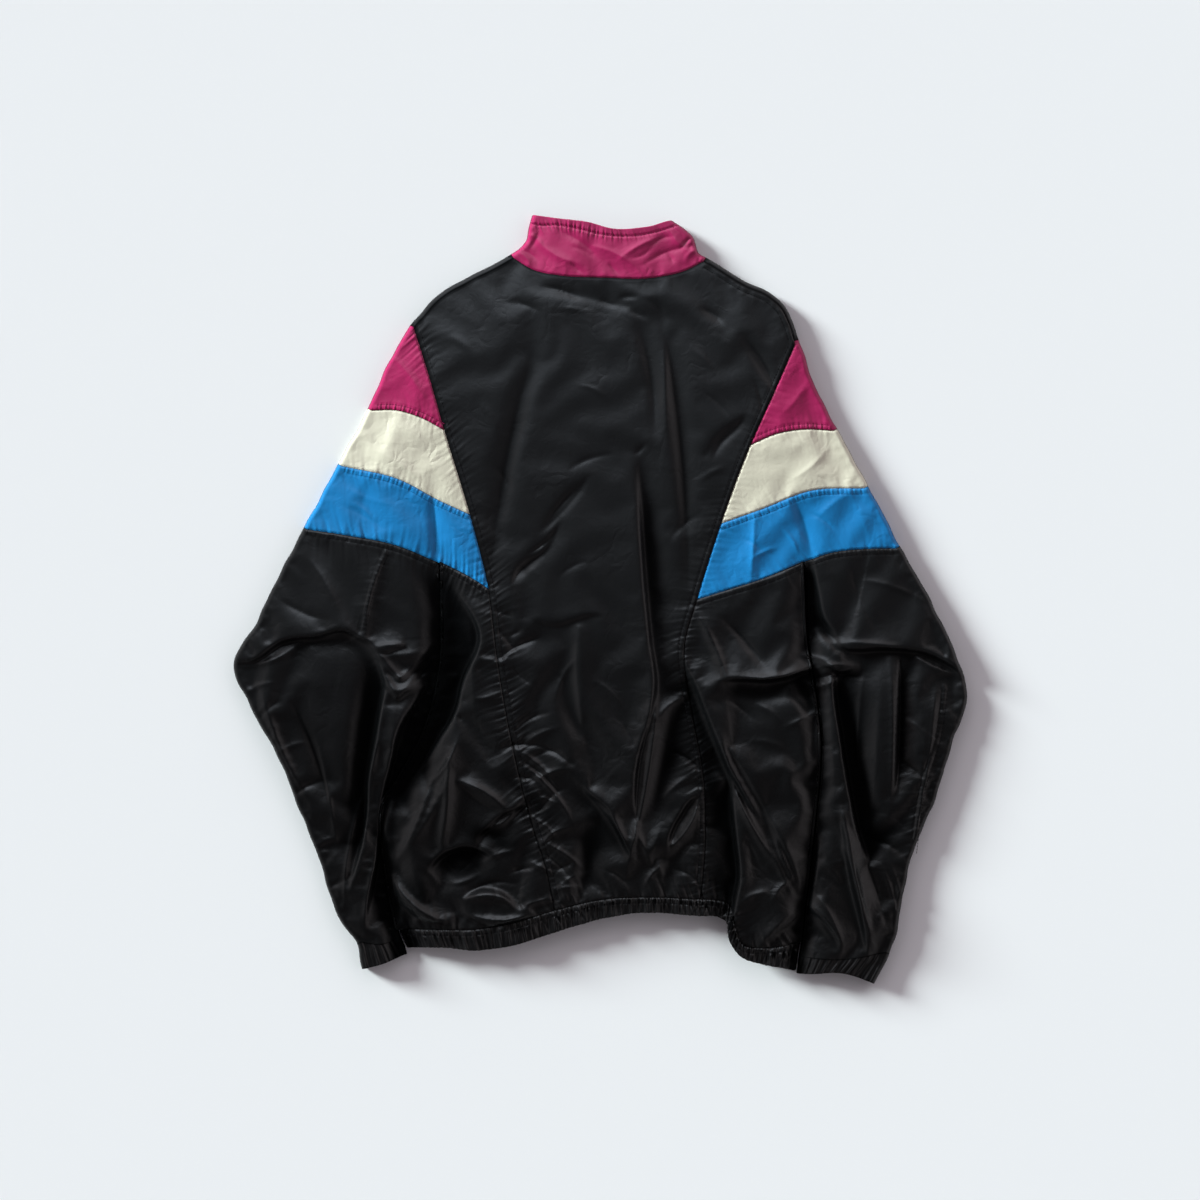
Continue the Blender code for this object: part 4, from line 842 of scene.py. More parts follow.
def simulated_wrinkles():
    """Wrinkles of the whole top layer, as heights on a regular plan grid.

    A cloth a few hundredths larger than the jacket is drawn in to the jacket's size by its outline and
    seams, while the rest of it is held only loosely, so it buckles into wrinkles of its own.
    """
    xs = np.arange(-373.5, 374, CLOTH_PITCH)
    ys = np.arange(-391.5, 392, CLOTH_PITCH)
    plan = np.stack(np.meshgrid(xs, ys), axis=-1)
    outline = np.vstack([EDGES["left"].points[::6], EDGES["right"].points[::-6]])
    kept = inside_of(plan.reshape(-1, 2), outline).reshape(plan.shape[:2])
    spots = plan[kept]
    number = np.full(kept.shape, -1)
    number[kept] = np.arange(len(spots))
    quads = corners_of_cells(number)
    quads = quads[(quads >= 0).all(axis=1)]
    x, y = spots.T
    ripple = np.sin(x / 9.0 + 2 * np.sin(y / 23.0)) * np.sin(y / 11.0 + 2 * np.sin(x / 19.0))
    start = height(spots) + RIPPLE_HEIGHT * ripple
    points = np.column_stack([spots, start]) * CLOTH_UNIT
    low = smooth((170 - y) / 300)
    grown = points.copy()
    grown[:, 0] *= 1 + GROWTH_X[0] + (GROWTH_X[1] - GROWTH_X[0]) * low
    grown[:, 1] *= 1 + GROWTH_Y[0] + (GROWTH_Y[1] - GROWTH_Y[0]) * low
    mesh = bpy.data.meshes.new("wrinkling cloth")
    mesh.from_pydata(grown.tolist(), [], quads.tolist())
    cloth = placed("wrinkling cloth", mesh)
    cloth.shape_key_add(name="Basis")
    drawn_in = cloth.shape_key_add(name="drawn in")
    drawn_in.data.foreach_set("co", points.ravel())
    for value, frame_number in ((0.0, 1), (1.0, DRAWING_FRAMES)):
        drawn_in.value = value
        drawn_in.keyframe_insert("value", frame=frame_number)
    borders = [line.points[::8] for line in [*EDGES.values(), *CREVICES.values()]]
    edge = np.min([np.abs(along_line(line, spots)[1]) for line in borders], axis=0)
    seam = np.min([np.abs(along_line(line.points, spots)[1]) for line in SEAMS], axis=0)
    hold = LOOSE_HOLD + np.exp(-((edge / 6.0) ** 2)) + SEAM_HOLD * np.exp(-((seam / 5.0) ** 2))
    group = cloth.vertex_groups.new(name="held")
    level = np.round(np.clip(hold, 0, 1) * HOLD_LEVELS).astype(int)
    for value in np.unique(level):
        group.add(np.nonzero(level == value)[0].tolist(), value / HOLD_LEVELS, "REPLACE")
    modifier = cloth.modifiers.new("cloth", "CLOTH")
    for key, value in CLOTH_SETTINGS.items():
        setattr(modifier.settings, key, value)
    modifier.settings.effector_weights.gravity = 0.0
    modifier.collision_settings.use_collision = False
    for frame_number in range(1, CLOTH_FRAMES + 1):
        bpy.context.scene.frame_set(frame_number)
    drawn = cloth.evaluated_get(bpy.context.evaluated_depsgraph_get())
    moved = np.empty(len(spots) * 3, dtype=np.float32)
    drawn.data.vertices.foreach_get("co", moved)
    heights = np.zeros(kept.shape)
    heights[kept] = moved.reshape(-1, 3)[:, 2] / CLOTH_UNIT - start
    bpy.data.objects.remove(cloth)
    bpy.context.scene.frame_set(1)
    return xs[0], ys[0], heights


def cubic(t):
    """Weights of four neighbours in a smooth curve through evenly spaced values."""
    return np.stack([-0.5 * t + t**2 - 0.5 * t**3, 1 - 2.5 * t**2 + 1.5 * t**3,
                     0.5 * t + 2 * t**2 - 1.5 * t**3, -0.5 * t**2 + 0.5 * t**3])


def sampled(field, plan):
    """Heights of a regular field at plan points, by smooth curves both ways."""
    x0, y0, heights = field
    u = np.clip((plan[..., 0] - x0) / CLOTH_PITCH, 1, heights.shape[1] - 3)
    v = np.clip((plan[..., 1] - y0) / CLOTH_PITCH, 1, heights.shape[0] - 3)
    i, j = np.floor(u).astype(int), np.floor(v).astype(int)
    across, down = cubic(u - i), cubic(v - j)
    return sum(down[b] * across[a] * heights[j + b - 1, i + a - 1] for a in range(4) for b in range(4))


wrinkle_field = simulated_wrinkles()
finished_seams = SEAMS


LAP_AMOUNT = {"left": 1.0, "right": 0.4}
LAP_GROWTH = 45.0
LAP_SPREAD = 10.0
LAP_REACH = 3.4
LAP_LIP = 1.1
BODY_LIFT = 2.4
SLEEVE_DROP = 0.6
UNDERSIDE = 0.2
LIP_FOOT = 3.0


def lapping(side, plan):
    """How far the body laps over the sleeve: none at the blue band's seam, and in full further down."""
    place, aside = along_line(CREVICES[side].points[::6], plan)
    return LAP_AMOUNT[side] * smooth(place / LAP_GROWTH) * np.exp(-((aside / LAP_SPREAD) ** 2))


def raised(plan, heights):
    """Points at given heights over plan points."""
    return np.concatenate([plan, heights[..., None]], axis=-1)


def lifted(plan, side=None, into_sleeve=False):
    """Points of a stretch of the top layer, the body raised and the sleeve lowered beside their fold."""
    z = height(plan)
    if side:
        amount = lapping(side, plan.reshape(-1, 2)).reshape(z.shape)
        z = z - SLEEVE_DROP * amount if into_sleeve else z + BODY_LIFT * amount
    return raised(plan, z)


def laid(plan):
    """Points of a stretch of the flat underside."""
    return raised(plan, np.full(plan.shape[:-1], UNDERSIDE))


SIDE_TURN = np.linspace(75, -90, 12)
LIP_TURN = np.linspace(80, -90, 9)


def turned(edge, inward, radius, top_height, angles):
    """Side fold as part of an ellipse, from the top layer at 90 degrees to the underside at -90."""
    angle = np.radians(np.asarray(angles, dtype=float))[None, :]
    half = top_height[:, None] / 2
    plan = edge[:, None] + inward[:, None] * (radius * (1 - np.cos(angle)))[..., None]
    return raised(plan, np.maximum(half * (1 + np.sin(angle)), UNDERSIDE))


def lapped(side, edge, inward, top_layer):
    """Body's fold beside the sleeve: a lip curls over it, then runs back down to the flat underside."""
    outer = edge - inward * (LAP_REACH * lapping(side, edge))[:, None]
    angle = np.radians(LIP_TURN)
    centre = outer + inward * LAP_LIP
    lip_plan = centre[:, None] - inward[:, None] * (LAP_LIP * np.cos(angle))[None, :, None]
    lip_height = top_layer[:, -1, 2, None] + LAP_LIP * (np.sin(angle) - 1)
    under = edge + UNDERARM_FOLD * inward
    down = [raised(under, np.full(len(under), z)) for z in (LIP_FOOT, UNDERSIDE)]
    return np.concatenate([raised(lip_plan, lip_height), np.stack(down, axis=1)], axis=1)


RIM = 6.0
RIM_RUN = 8.0
SUNK_START = 1.0
SUNK_RUN = 5.5


def piece(name, grids, finish, node):
    """Shell from grids of points in millimetres: shaded smooth, with a UV map of the lengths along its
    rows.

    Its attribute of painted shade says how little light reaches each point. It is the largest of three
    painted shades: of cloth lying below its general level, of the seams, and of the deep places.
    """
    faces, lengths, first = [], [], 0
    for grid in grids:
        rows, columns = grid.shape[:2]
        corner = first + np.arange(rows * columns).reshape(rows, columns)
        faces.append(corners_of_cells(corner)[:, ::-1 if faces_down(grid) else 1])
        across = np.cumsum(np.linalg.norm(np.diff(grid, axis=1, prepend=grid[:, :1]), axis=2), axis=1)
        down = np.cumsum(np.linalg.norm(np.diff(grid, axis=0, prepend=grid[:1]), axis=2), axis=0)
        lengths.append(np.stack([across, down], axis=-1).reshape(-1, 2) * MM)
        first += rows * columns
    faces = np.vstack(faces)
    points = np.vstack([grid.reshape(-1, 3) for grid in grids])
    mesh = bpy.data.meshes.new(name)
    mesh.from_pydata((points * MM).tolist(), [], faces.tolist())
    mesh.polygons.foreach_set("use_smooth", np.ones(len(faces), dtype=bool))
    mesh.uv_layers.new(name="UVMap").uv.foreach_set("vector", np.vstack(lengths)[faces.ravel()].ravel())
    edge = to_edge(points[:, :2])
    # Painted shade: darker where the cloth lies below its general level, but not near the outline
    painted_shade_share = smooth((general_level(edge) - points[:, 2] - SUNK_START) / SUNK_RUN)
    painted_shade_share = painted_shade_share * smooth((edge - RIM) / RIM_RUN)
    painted_seam_shade = np.concatenate([seam_shade(grid) for grid in grids])
    # Painted shade, the darkest of the three, stored on the points for the shader
    painted_shade = np.maximum(np.maximum(painted_shade_share, painted_seam_shade), deep_shade(points))
    mesh.attributes.new("painted_shade", "FLOAT", "POINT").data.foreach_set("value", painted_shade)
    mesh.materials.append(finish)
    mesh.update()
    thing = placed(name, mesh)
    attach(thing, "root")
    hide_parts(node)
    return thing


def seam_shade(grid):
    """Shade along a grid's borders, which lie in the seams: full on the border, half one row inside."""
    shade = np.zeros(grid.shape[:2])
    for row, amount in ((1, 0.5), (0, 1.0)):
        shade[[row, -1 - row]] = amount
        shade[row:len(shade) - row, [row, -1 - row]] = amount
    return shade.ravel()


# Places where the cloth sinks under a fold and little light comes in: centre, half sizes, turn and shade
Shade = namedtuple("Shade", "x y long wide turn amount")
SHADES = table(Shade,
    (108, -170, 78, 11, -78, 0.9),
    (150, -92, 34, 8, -4, 0.8),
    (206, -96, 18, 7, -30, 0.6),
    (-110, -236, 27, 11, -20, 0.9),
    (-142, -266, 28, 13, -12, 0.9),
    (-180, -290, 20, 9, -50, 0.6),
    (4, -226, 40, 8, -48, 0.6),
    (66, -222, 30, 8, 64, 0.5),
    (250, -130, 78, 16, -86, 0.5),
    (268, -225, 40, 12, -72, 0.7),
    (-72, -196, 36, 8, -42, 0.5),
    (120, -280, 36, 9, 84, 0.7),
)


def deep_shade(points):
    """Share of light lost at each point in the places of SHADES: full in the middle, with a soft rim."""
    lost = np.zeros(len(points))
    for place in SHADES:
        turn = np.radians(place.turn)
        right, up = points[:, 0] - place.x, points[:, 1] - place.y
        along = (right * np.cos(turn) + up * np.sin(turn)) / place.long
        across = (up * np.cos(turn) - right * np.sin(turn)) / place.wide
        lost = np.maximum(lost, place.amount * np.exp(-((along**2 + across**2) ** 1.5)))
    return lost


TOP_LAYER = 8.0


def faces_down(grid):
    """Whether a grid has to be turned round: its highest cells face down, or a flat underside's face up."""
    a = grid[:-1, 1:] - grid[:-1, :-1]
    b = grid[1:, :-1] - grid[:-1, :-1]
    up = np.cross(b, a)[..., 2]
    high = grid[:-1, :-1, 2] > TOP_LAYER
    return up[high].sum() > 0 if high.any() else up.sum() < 0


class Wire:
    """A shader value from a node's socket, with the usual arithmetic as math nodes."""

    def __init__(self, tree, socket=None):
        self.tree = tree
        self.socket = socket

    def node(self, kind, settings=None, output=0, **links):
        """Any node: its type, its settings, and its inputs by name or identifier."""
        made = self.tree.nodes.new(kind)
        for name, value in (settings or {}).items():
            setattr(made, name, value)
        for name, value in links.items():
            join(next(s for s in made.inputs if s.enabled and name in (s.name, s.identifier)), value)
        return Wire(self.tree, made.outputs[output])

    def math(self, operation, first, second):
        """Math node of two values."""
        return self.node("ShaderNodeMath", {"operation": operation}, Value=first, Value_001=second)

    def limited(self, low, high):
        """The value kept between two limits."""
        return self.math("MINIMUM", self.math("MAXIMUM", self, low), high)

    def dimmed(self, colour, by):
        """A colour times another colour or a grey."""
        settings = {"data_type": "RGBA", "blend_type": "MULTIPLY"}
        return self.node("ShaderNodeMix", settings, output=2, Factor=1.0, A=colour, B=by)

    def __add__(self, other):
        return self.math("ADD", self, other)

    def __sub__(self, other):
        return self.math("SUBTRACT", self, other)

    def __rsub__(self, other):
        return self.math("SUBTRACT", other, self)

    def __mul__(self, other):
        return self.math("MULTIPLY", self, other)

    __radd__ = __add__
    __rmul__ = __mul__


def join(socket, value):
    """Link a wire to a socket, or set the socket's own value."""
    if isinstance(value, Wire):
        value.tree.links.new(value.socket, socket)
    else:
        socket.default_value = value


def plain(name, colour, roughness, sheen=0.5):
    """Finish that is the same all over."""
    finish = bpy.data.materials.new(name)
    finish.use_nodes = True
    shader = finish.node_tree.nodes["Principled BSDF"]
    shader.inputs["Base Color"].default_value = (*colour, 1)
    shader.inputs["Roughness"].default_value = roughness
    shader.inputs["Specular IOR Level"].default_value = sheen
    return finish


NYLON_SHEEN = 0.3
# How far the painted shade, a dull darker finish, takes over from the nylon, and how dark it is
PAINTED_SHADE_MIX = 0.93
PAINTED_SHADE_TINT = (0.35, 0.35, 0.35, 1)


def nylon(name, colour, roughness, crinkle=0.5, painted_top_light=0.0):
    """Thin nylon taffeta: a fine plain weave, crumples and a sheen that varies a little over the cloth.

    Painted shade darkens the colour where the cloth turns down steeply, and painted light brightens it
    towards the collar. The crumples are the edges of two sizes of cells, patchy and a little bent, and
    show less near the shoulders. A dull dark finish of painted shade takes over where the painted shade
    attribute says that little light comes in.
    """
    finish = plain(name, colour, roughness, NYLON_SHEEN)
    tree = finish.node_tree
    shader = tree.nodes["Principled BSDF"]
    cloth = Wire(tree)
    place = cloth.node("ShaderNodeTexCoord", output=3)
    facing = cloth.node("ShaderNodeTexCoord", output=1)
    up = cloth.node("ShaderNodeSeparateXYZ", output=1, Vector=place)
    level = cloth.node("ShaderNodeSeparateXYZ", output=2, Vector=facing)
    soft = cloth.node("ShaderNodeTexNoise", Vector=place, Scale=22.0, Detail=3.0)
    bent = cloth.node("ShaderNodeTexNoise", output=1, Vector=place, Scale=36.0, Detail=2.0)
    fine = cloth.node("ShaderNodeTexNoise", Vector=place, Scale=170.0, Detail=4.0)
    grain = cloth.node("ShaderNodeTexNoise", Vector=place, Scale=1500.0, Detail=1.0)
    warped = cloth.node("ShaderNodeMix", {"data_type": "VECTOR"}, output=1, Factor=0.045, A=place, B=bent)
    edges = {"feature": "DISTANCE_TO_EDGE"}
    large = cloth.node("ShaderNodeTexVoronoi", edges, Vector=warped, Scale=34.0)
    small = cloth.node("ShaderNodeTexVoronoi", edges, Vector=warped, Scale=92.0)
    # Painted shade: the colour is darker where the cloth turns down steeply
    painted_steep_shade = (2.4 * level * level).limited(0.3, 1.0)
    # Painted light: the colour is brighter towards the collar, as if lit from above, by the given share
    painted_top_light_gain = 1.0 + painted_top_light * (0.45 + 2.4 * up).limited(0.0, 1.0)
    tinted = cloth.dimmed((*colour, 1), (0.88 + 0.24 * soft) * painted_steep_shade * painted_top_light_gain)
    worn = (0.42 - 1.6 * up).limited(0.4, 1.0)
    patchy = (soft * 5.0 - 2.3).limited(0.0, 1.0)
    lines = patchy * (large * 5.0).limited(0.0, 1.0) + 0.16 * (small * 3.5).limited(0.0, 1.0)
    creased = worn * (lines + 0.25 * fine) + 0.008 * grain
    join(shader.inputs["Base Color"], tinted)
    join(shader.inputs["Roughness"], roughness - 0.07 + 0.14 * soft)
    bumped = cloth.node("ShaderNodeBump", Strength=crinkle, Distance=0.001, Height=creased)
    join(shader.inputs["Normal"], bumped)
    # Painted shade: a dull, darker finish mixed in where the points' painted shade says little light comes
    # in
    painted_shade_finish = cloth.node("ShaderNodeBsdfDiffuse", Color=cloth.dimmed(tinted, PAINTED_SHADE_TINT))
    painted_shade_share = cloth.node("ShaderNodeAttribute", {"attribute_name": "painted_shade"}, output=2)
    nylon_or_painted_shade = cloth.node("ShaderNodeMixShader", Fac=PAINTED_SHADE_MIX * painted_shade_share,
                               Shader=Wire(tree, shader.outputs[0]), Shader_001=painted_shade_finish)
    join(tree.nodes["Material Output"].inputs["Surface"], nylon_or_painted_shade)
    return finish


# The black is painted lighter towards the collar, a painted gradient of light from above
black = nylon("black_nylon", (0.0024, 0.0026, 0.0030), 0.38, painted_top_light=2.2)

ROWS = {"magenta": shares(62), "white": shares(54), "blue": shares(48), "side": shares(246)}
RUNS = (("apex", "magenta end", ROWS["magenta"]), ("magenta end", "white end", ROWS["white"]),
        ("white end", "blue end", ROWS["blue"]), ("blue end", "hem", ROWS["side"]))
SHOULDER_SHARES = np.linspace(0, 1, 41)
NECK_SHARES = np.linspace(0, 1, 71)


def joined(runs):
    """One line from runs that each start where the last one ends."""
    return np.vstack([runs[0]] + [run[1:] for run in runs[1:]])


def whole_princess(side, every=1):
    """Princess seam from the apex to the hem, or only every so many of its points."""
    return joined([princess(side, start, end, at[::every]) for start, end, at in RUNS])


shoulders = [edge_fold(side, "neck", "apex", SHOULDER_SHARES)[2] for side in SIDES]
top = np.vstack([shoulders[0][::-1], neck_line(NECK_SHARES)[1:-1], shoulders[1]])
borders = [whole_princess(side) for side in SIDES]
across, down = (np.linspace(0, 1, len(line)) for line in (top, borders[0]))
hem = hem_line("top", np.linspace(0, 1, 5), across)[1]
back = piece("back_shell", [lifted(patch(top, hem, *borders, across, down))], black, "back_panel")


# Colour bands -------------------------------------------------------------------------------------
# Three bands on each side, magenta, off-white and blue, cut in one from the back princess seam round the
# sleeve's outer fold to the front one, and topstitched beside the seams that join them.
magenta = nylon("magenta_nylon", (0.345, 0.014, 0.094), 0.45, 0.85)
white = nylon("white_nylon", (0.625, 0.60, 0.50), 0.48, 0.85)
blue = nylon("blue_nylon", (0.008, 0.174, 0.455), 0.45, 0.85)
BODY_SHARES = shares(76)
SLEEVE_SHARES = shares(96)
BAND_SHARES = np.linspace(0, 1, len(BODY_SHARES) + len(SLEEVE_SHARES) - 1)
EVERY_EIGHTH_BACK = slice(None, None, -8)


def band(side, colour, start, end, finish):
    """A band: its top layer, its side fold and its flat front."""
    at = ROWS[colour]
    edge, inward, fold_line = edge_fold(side, start, end, at)
    bottom = band_seam(side, end, BODY_SHARES, SLEEVE_SHARES)
    upper = np.repeat(fold_line[:1], len(bottom), axis=0)
    if start != "apex":
        upper = band_seam(side, start, BODY_SHARES, SLEEVE_SHARES)
    plan = patch(upper, bottom, princess(side, start, end, at), fold_line, BAND_SHARES, at)
    top_layer = lifted(plan)
    fold = turned(edge, inward, SIDE_FOLD, top_layer[:, -1, 2], SIDE_TURN)
    grid = np.concatenate([top_layer, fold, laid(plan[:, EVERY_EIGHTH_BACK])], axis=1)
    thing = piece(f"band_{colour}_{side}_shell", [grid], finish, f"band_{colour}_{side}")


for side in SIDES:
    band(side, "magenta", "apex", "magenta end", magenta)
    band(side, "white", "magenta end", "white end", white)
    band(side, "blue", "white end", "blue end", blue)


# Side panels --------------------------------------------------------------------------------------
# The black lower sides of the body, one piece on each side from the back princess seam to the front one.
LIP_COLUMNS = 6
LIP_SHARES = np.linspace(0.1, 1.0, LIP_COLUMNS)[None, :, None]
for side in SIDES:
    at = ROWS["side"]
    edge, inward, fold_line = crevice_fold(side, "blue end", "side end", at, into_sleeve=False)
    left_hem, _, right_hem = hem_line("top", BODY_SHARES, EVENLY)
    bottom = left_hem[::-1] if side == "left" else right_hem
    upper = body_seam(side, 1 - BODY_SHARES)
    upper[-1] = fold_line[0]
    plan = patch(upper, bottom, princess(side, "blue end", "hem", at), fold_line, BODY_SHARES, at)
    plan[:, -LIP_COLUMNS:] -= (inward * (LAP_REACH * lapping(side, edge))[:, None])[:, None] * LIP_SHARES
    top_layer = lifted(plan, side)
    fold = lapped(side, edge, inward, top_layer)
    grid = np.concatenate([top_layer, fold, laid(plan[:, EVERY_EIGHTH_BACK])], axis=1)
    panel = piece(f"side_panel_{side}_shell", [grid], black, f"side_panel_{side}")


# Sleeves ------------------------------------------------------------------------------------------
# The black lower sleeves, each cut in one and closed by an underarm seam, with the elbows bent so that
# the cuffs come back to the hem.
SLEEVE_ROWS = shares(280)
CUFF_ROWS = shares(20, 3)
TURN_UP = np.linspace(-4, 75, 6)
TURN_BACK = np.linspace(-80, -6, 5)
CUFF_GATHERS = 0.8
CUFF_PITCH = 6.0
# Middle points of the two lines across each sleeve
CUFF_LINES = {
    ("left", "cuff seam"): (-219.5, -343),
    ("left", "cuff end"): (-215.5, -362),
    ("right", "cuff seam"): (241.5, -358),
    ("right", "cuff end"): (244.5, -372.5),
}


def cuff_line(side, mark, at):
    """Line across the sleeve at the cuff's seam or its open end, from the inner fold to the outer one."""
    before = "blue end" if mark == "cuff seam" else "cuff seam"
    last = np.array([0.0, 1.0])
    inner_end = crevice_fold(side, before, mark, last, into_sleeve=True)[2][-1]
    outer_end = edge_fold(side, before, mark, last)[2][-1]
    return through([inner_end, CUFF_LINES[side, mark], outer_end], at)


def gathers(plan, depth, pitch, seed):
    """Heights of elastic gathers: uneven waves along the rows, deepest half-way across the band."""
    lengths = np.cumsum(np.linalg.norm(np.diff(plan[0], axis=0, prepend=plan[0, :1]), axis=1))
    across = np.sin(np.pi * np.linspace(0.12, 0.88, len(plan)))
    slant = np.linspace(-1, 1, len(plan))[:, None]
    return depth * across[:, None] * wobble(lengths[None] + slant, pitch, seed)


def tube(side, start, end, at, upper, lower, gather=0.0):
    """Flattened tube, from its underarm seam over the inner fold, the top and the outer fold, and back."""
    edge, inward, fold_line = edge_fold(side, start, end, at)
    inner_edge, inner_inward, inner_line = crevice_fold(side, start, end, at, into_sleeve=True)
    upper[0], lower[0] = inner_line[0], inner_line[-1]
    plan = patch(upper, lower, inner_line, fold_line, SLEEVE_SHARES, at)
    top_layer = lifted(plan, side, into_sleeve=True)
    top_layer[..., 2] += gathers(plan, gather, CUFF_PITCH, 3)
    inner_height = top_layer[:, 0, 2]
    return np.concatenate([
        turned(inner_edge, inner_inward, UNDERARM_FOLD, inner_height, TURN_UP),
        top_layer,
        turned(edge, inward, SIDE_FOLD, top_layer[:, -1, 2], SIDE_TURN),
        laid(plan[:, EVERY_EIGHTH_BACK]),
        turned(inner_edge, inner_inward, UNDERARM_FOLD, inner_height, TURN_BACK),
    ], axis=1)


for side in SIDES:
    grid = tube(side, "blue end", "cuff seam", SLEEVE_ROWS, sleeve_seam(side, SLEEVE_SHARES),
                cuff_line(side, "cuff seam", SLEEVE_SHARES))
    sleeve = piece(f"sleeve_{side}_shell", [grid], black, f"sleeve_{side}")


# Cuffs --------------------------------------------------------------------------------------------
# The ends of the sleeves, turned in over elastic and stitched round, so they gather. The left one lies
# askew, with less of it laid out flat.
for side in SIDES:
    grid = tube(side, "cuff seam", "cuff end", CUFF_ROWS, cuff_line(side, "cuff seam", SLEEVE_SHARES),
                cuff_line(side, "cuff end", SLEEVE_SHARES), CUFF_GATHERS)
    cuff = piece(f"cuff_{side}_shell", [grid], black, f"cuff_{side}")


# Fronts -------------------------------------------------------------------------------------------
# The two black fronts lie face down on the surface, between the front princess seams and the zip. Each
# turns up over the shoulder to its seam with the back.
COLLAR_FRONT_DROP = 44.0
CHAIN_WIDTH = 6.0
ZIP_HEM = np.array([27.5, -312.0])
ZIP_COLLAR = np.array([5.5, 328.0])
FRONT_SHARES = np.linspace(0, 1, 41)
SHOULDER_TURN = np.linspace(88, -90, 12)


def zip_x(y):
    """Centre of the zip at a height up the front."""
    run, rise = ZIP_COLLAR - ZIP_HEM
    return ZIP_HEM[0] + (y - ZIP_HEM[1]) / rise * run


def front_drop(columns):
    """How far the front of the neck lies below its back: none at the shoulders, most in the middle."""
    drop = COLLAR_FRONT_DROP * (1 - np.linspace(-1, 1, columns) ** 2)
    return np.stack([0 * drop, -drop], axis=-1)


for side, beside_zip in (("left", -CHAIN_WIDTH / 2), ("right", CHAIN_WIDTH / 2)):
    edge, inward, fold_line = edge_fold(side, "neck", "apex", FRONT_SHARES)
    neck = neck_line(FRONT_SHARES) + front_drop(len(FRONT_SHARES))
    hem = hem_line("top", FRONT_SHARES, FRONT_SHARES)[1]
    if side == "right":
        neck, hem = neck[::-1], hem[::-1]
    neck = neck[:len(neck) // 2 + 1]
    hem = through(hem[:len(hem) // 2 + 1:4], np.linspace(0, 1, len(fold_line) + len(neck) - 1))
    for line in (neck, hem):
        line[-1, 0] = zip_x(line[-1, 1]) + beside_zip
    top = np.vstack([fold_line[::-1], neck[1:]])
    seam = through(whole_princess(side, 4)[::3], FRONT_SHARES)
    seam[-1] = hem[0]
    zip_edge = neck[-1] + FRONT_SHARES[:, None] * (hem[-1] - neck[-1])
    under = laid(patch(top, hem, seam, zip_edge, np.linspace(0, 1, len(top)), FRONT_SHARES))
    over = turned(edge, inward, SIDE_FOLD, lifted(fold_line)[:, 2], SHOULDER_TURN)
    front = piece(f"front_{side}_shell", [over, under], black, f"front_{side}")


# Collar -------------------------------------------------------------------------------------------
# The magenta stand collar: a flattened ring, open at the front, with a stitched tunnel along its top
# edge.
COLLAR_TOP = ((-40.5, 379), (-10.5, 375), (11.5, 369), (39.5, 370), (51.5, 372), (60.5, 375))
COLLAR_ROWS = shares(56)
COLLAR_SHARES = np.linspace(0, 1, 177)
HEM_TURN = np.linspace(0, 180, 7)
HEM_ROLL = 0.9
HEM_DEPTH = 14.0
BAND_PITCH = 5.2


def ring(back_plan, front_plan, left_fold, right_fold, radius, gather=0.0):
    """Flattened ring, open at the front: half of its front layer, its back layer and the other half."""
    top_layer = lifted(back_plan)
    top_layer[..., 2] += gathers(back_plan, gather, BAND_PITCH, 7)
    middle = front_plan.shape[1] // 2
    left_front = front_plan[:, :middle + 1][:, EVERY_EIGHTH_BACK]
    right_front = front_plan[:, middle:][:, EVERY_EIGHTH_BACK]
    left_front[:, 0, 0] = zip_x(left_front[:, 0, 1]) - CHAIN_WIDTH / 2
    right_front[:, -1, 0] = zip_x(right_front[:, -1, 1]) + CHAIN_WIDTH / 2
    return np.concatenate([
        laid(left_front),
        turned(*left_fold, radius, top_layer[:, 0, 2], SIDE_TURN[::-1]),
        top_layer,
        turned(*right_fold, radius, top_layer[:, -1, 2], SIDE_TURN),
        laid(right_front),
    ], axis=1)


def turned_in(grid):
    """Add the turned edge: the last row rolls over through half a circle and runs back inside."""
    last = grid[-1]
    out = unit(last - grid[-3])
    inside = unit(np.cross(np.gradient(last, axis=0), out))
    if inside[len(last) // 2, 2] > 0:
        inside = -inside
    angle = np.radians(HEM_TURN)[:, None, None]
    roll = last + out * HEM_ROLL * np.sin(angle) + inside * HEM_ROLL * (1 - np.cos(angle))
    tail = roll[-1] - out * HEM_DEPTH
    hem = np.concatenate([roll[1:], tail[None]])
    hem[..., 2] = np.maximum(hem[..., 2], UNDERSIDE)
    return np.concatenate([grid, hem], axis=0)


# Near the top corners the side fold's inward direction swings round to the top edge, so the corners are
# smooth
CORNER = 12.0
sides = {}
for side, beside_end in (("left", COLLAR_TOP[0]), ("right", COLLAR_TOP[-1])):
    edge, inward, _ = (run[::-1] for run in edge_fold(side, "collar top", "neck", 1 - COLLAR_ROWS[::-1]))
    along_top = np.array(beside_end) - edge[-1]
    near_top = smooth(1 - np.linalg.norm(edge - edge[-1], axis=1) / CORNER)[:, None]
    inward = unit((1 - near_top) * inward + near_top * along_top / np.linalg.norm(along_top))
    sides[side] = edge, inward, edge + SIDE_FOLD * inward
left_line, right_line = sides["left"][2], sides["right"][2]
top_edge = through([left_line[-1], *COLLAR_TOP, right_line[-1]], COLLAR_SHARES)
plan = patch(neck_line(COLLAR_SHARES), top_edge, left_line, right_line, COLLAR_SHARES, COLLAR_ROWS)
front_plan = plan + front_drop(len(COLLAR_SHARES))
grid = turned_in(ring(plan, front_plan, sides["left"][:2], sides["right"][:2], SIDE_FOLD))
collar = piece("collar_shell", [grid], magenta, "collar")


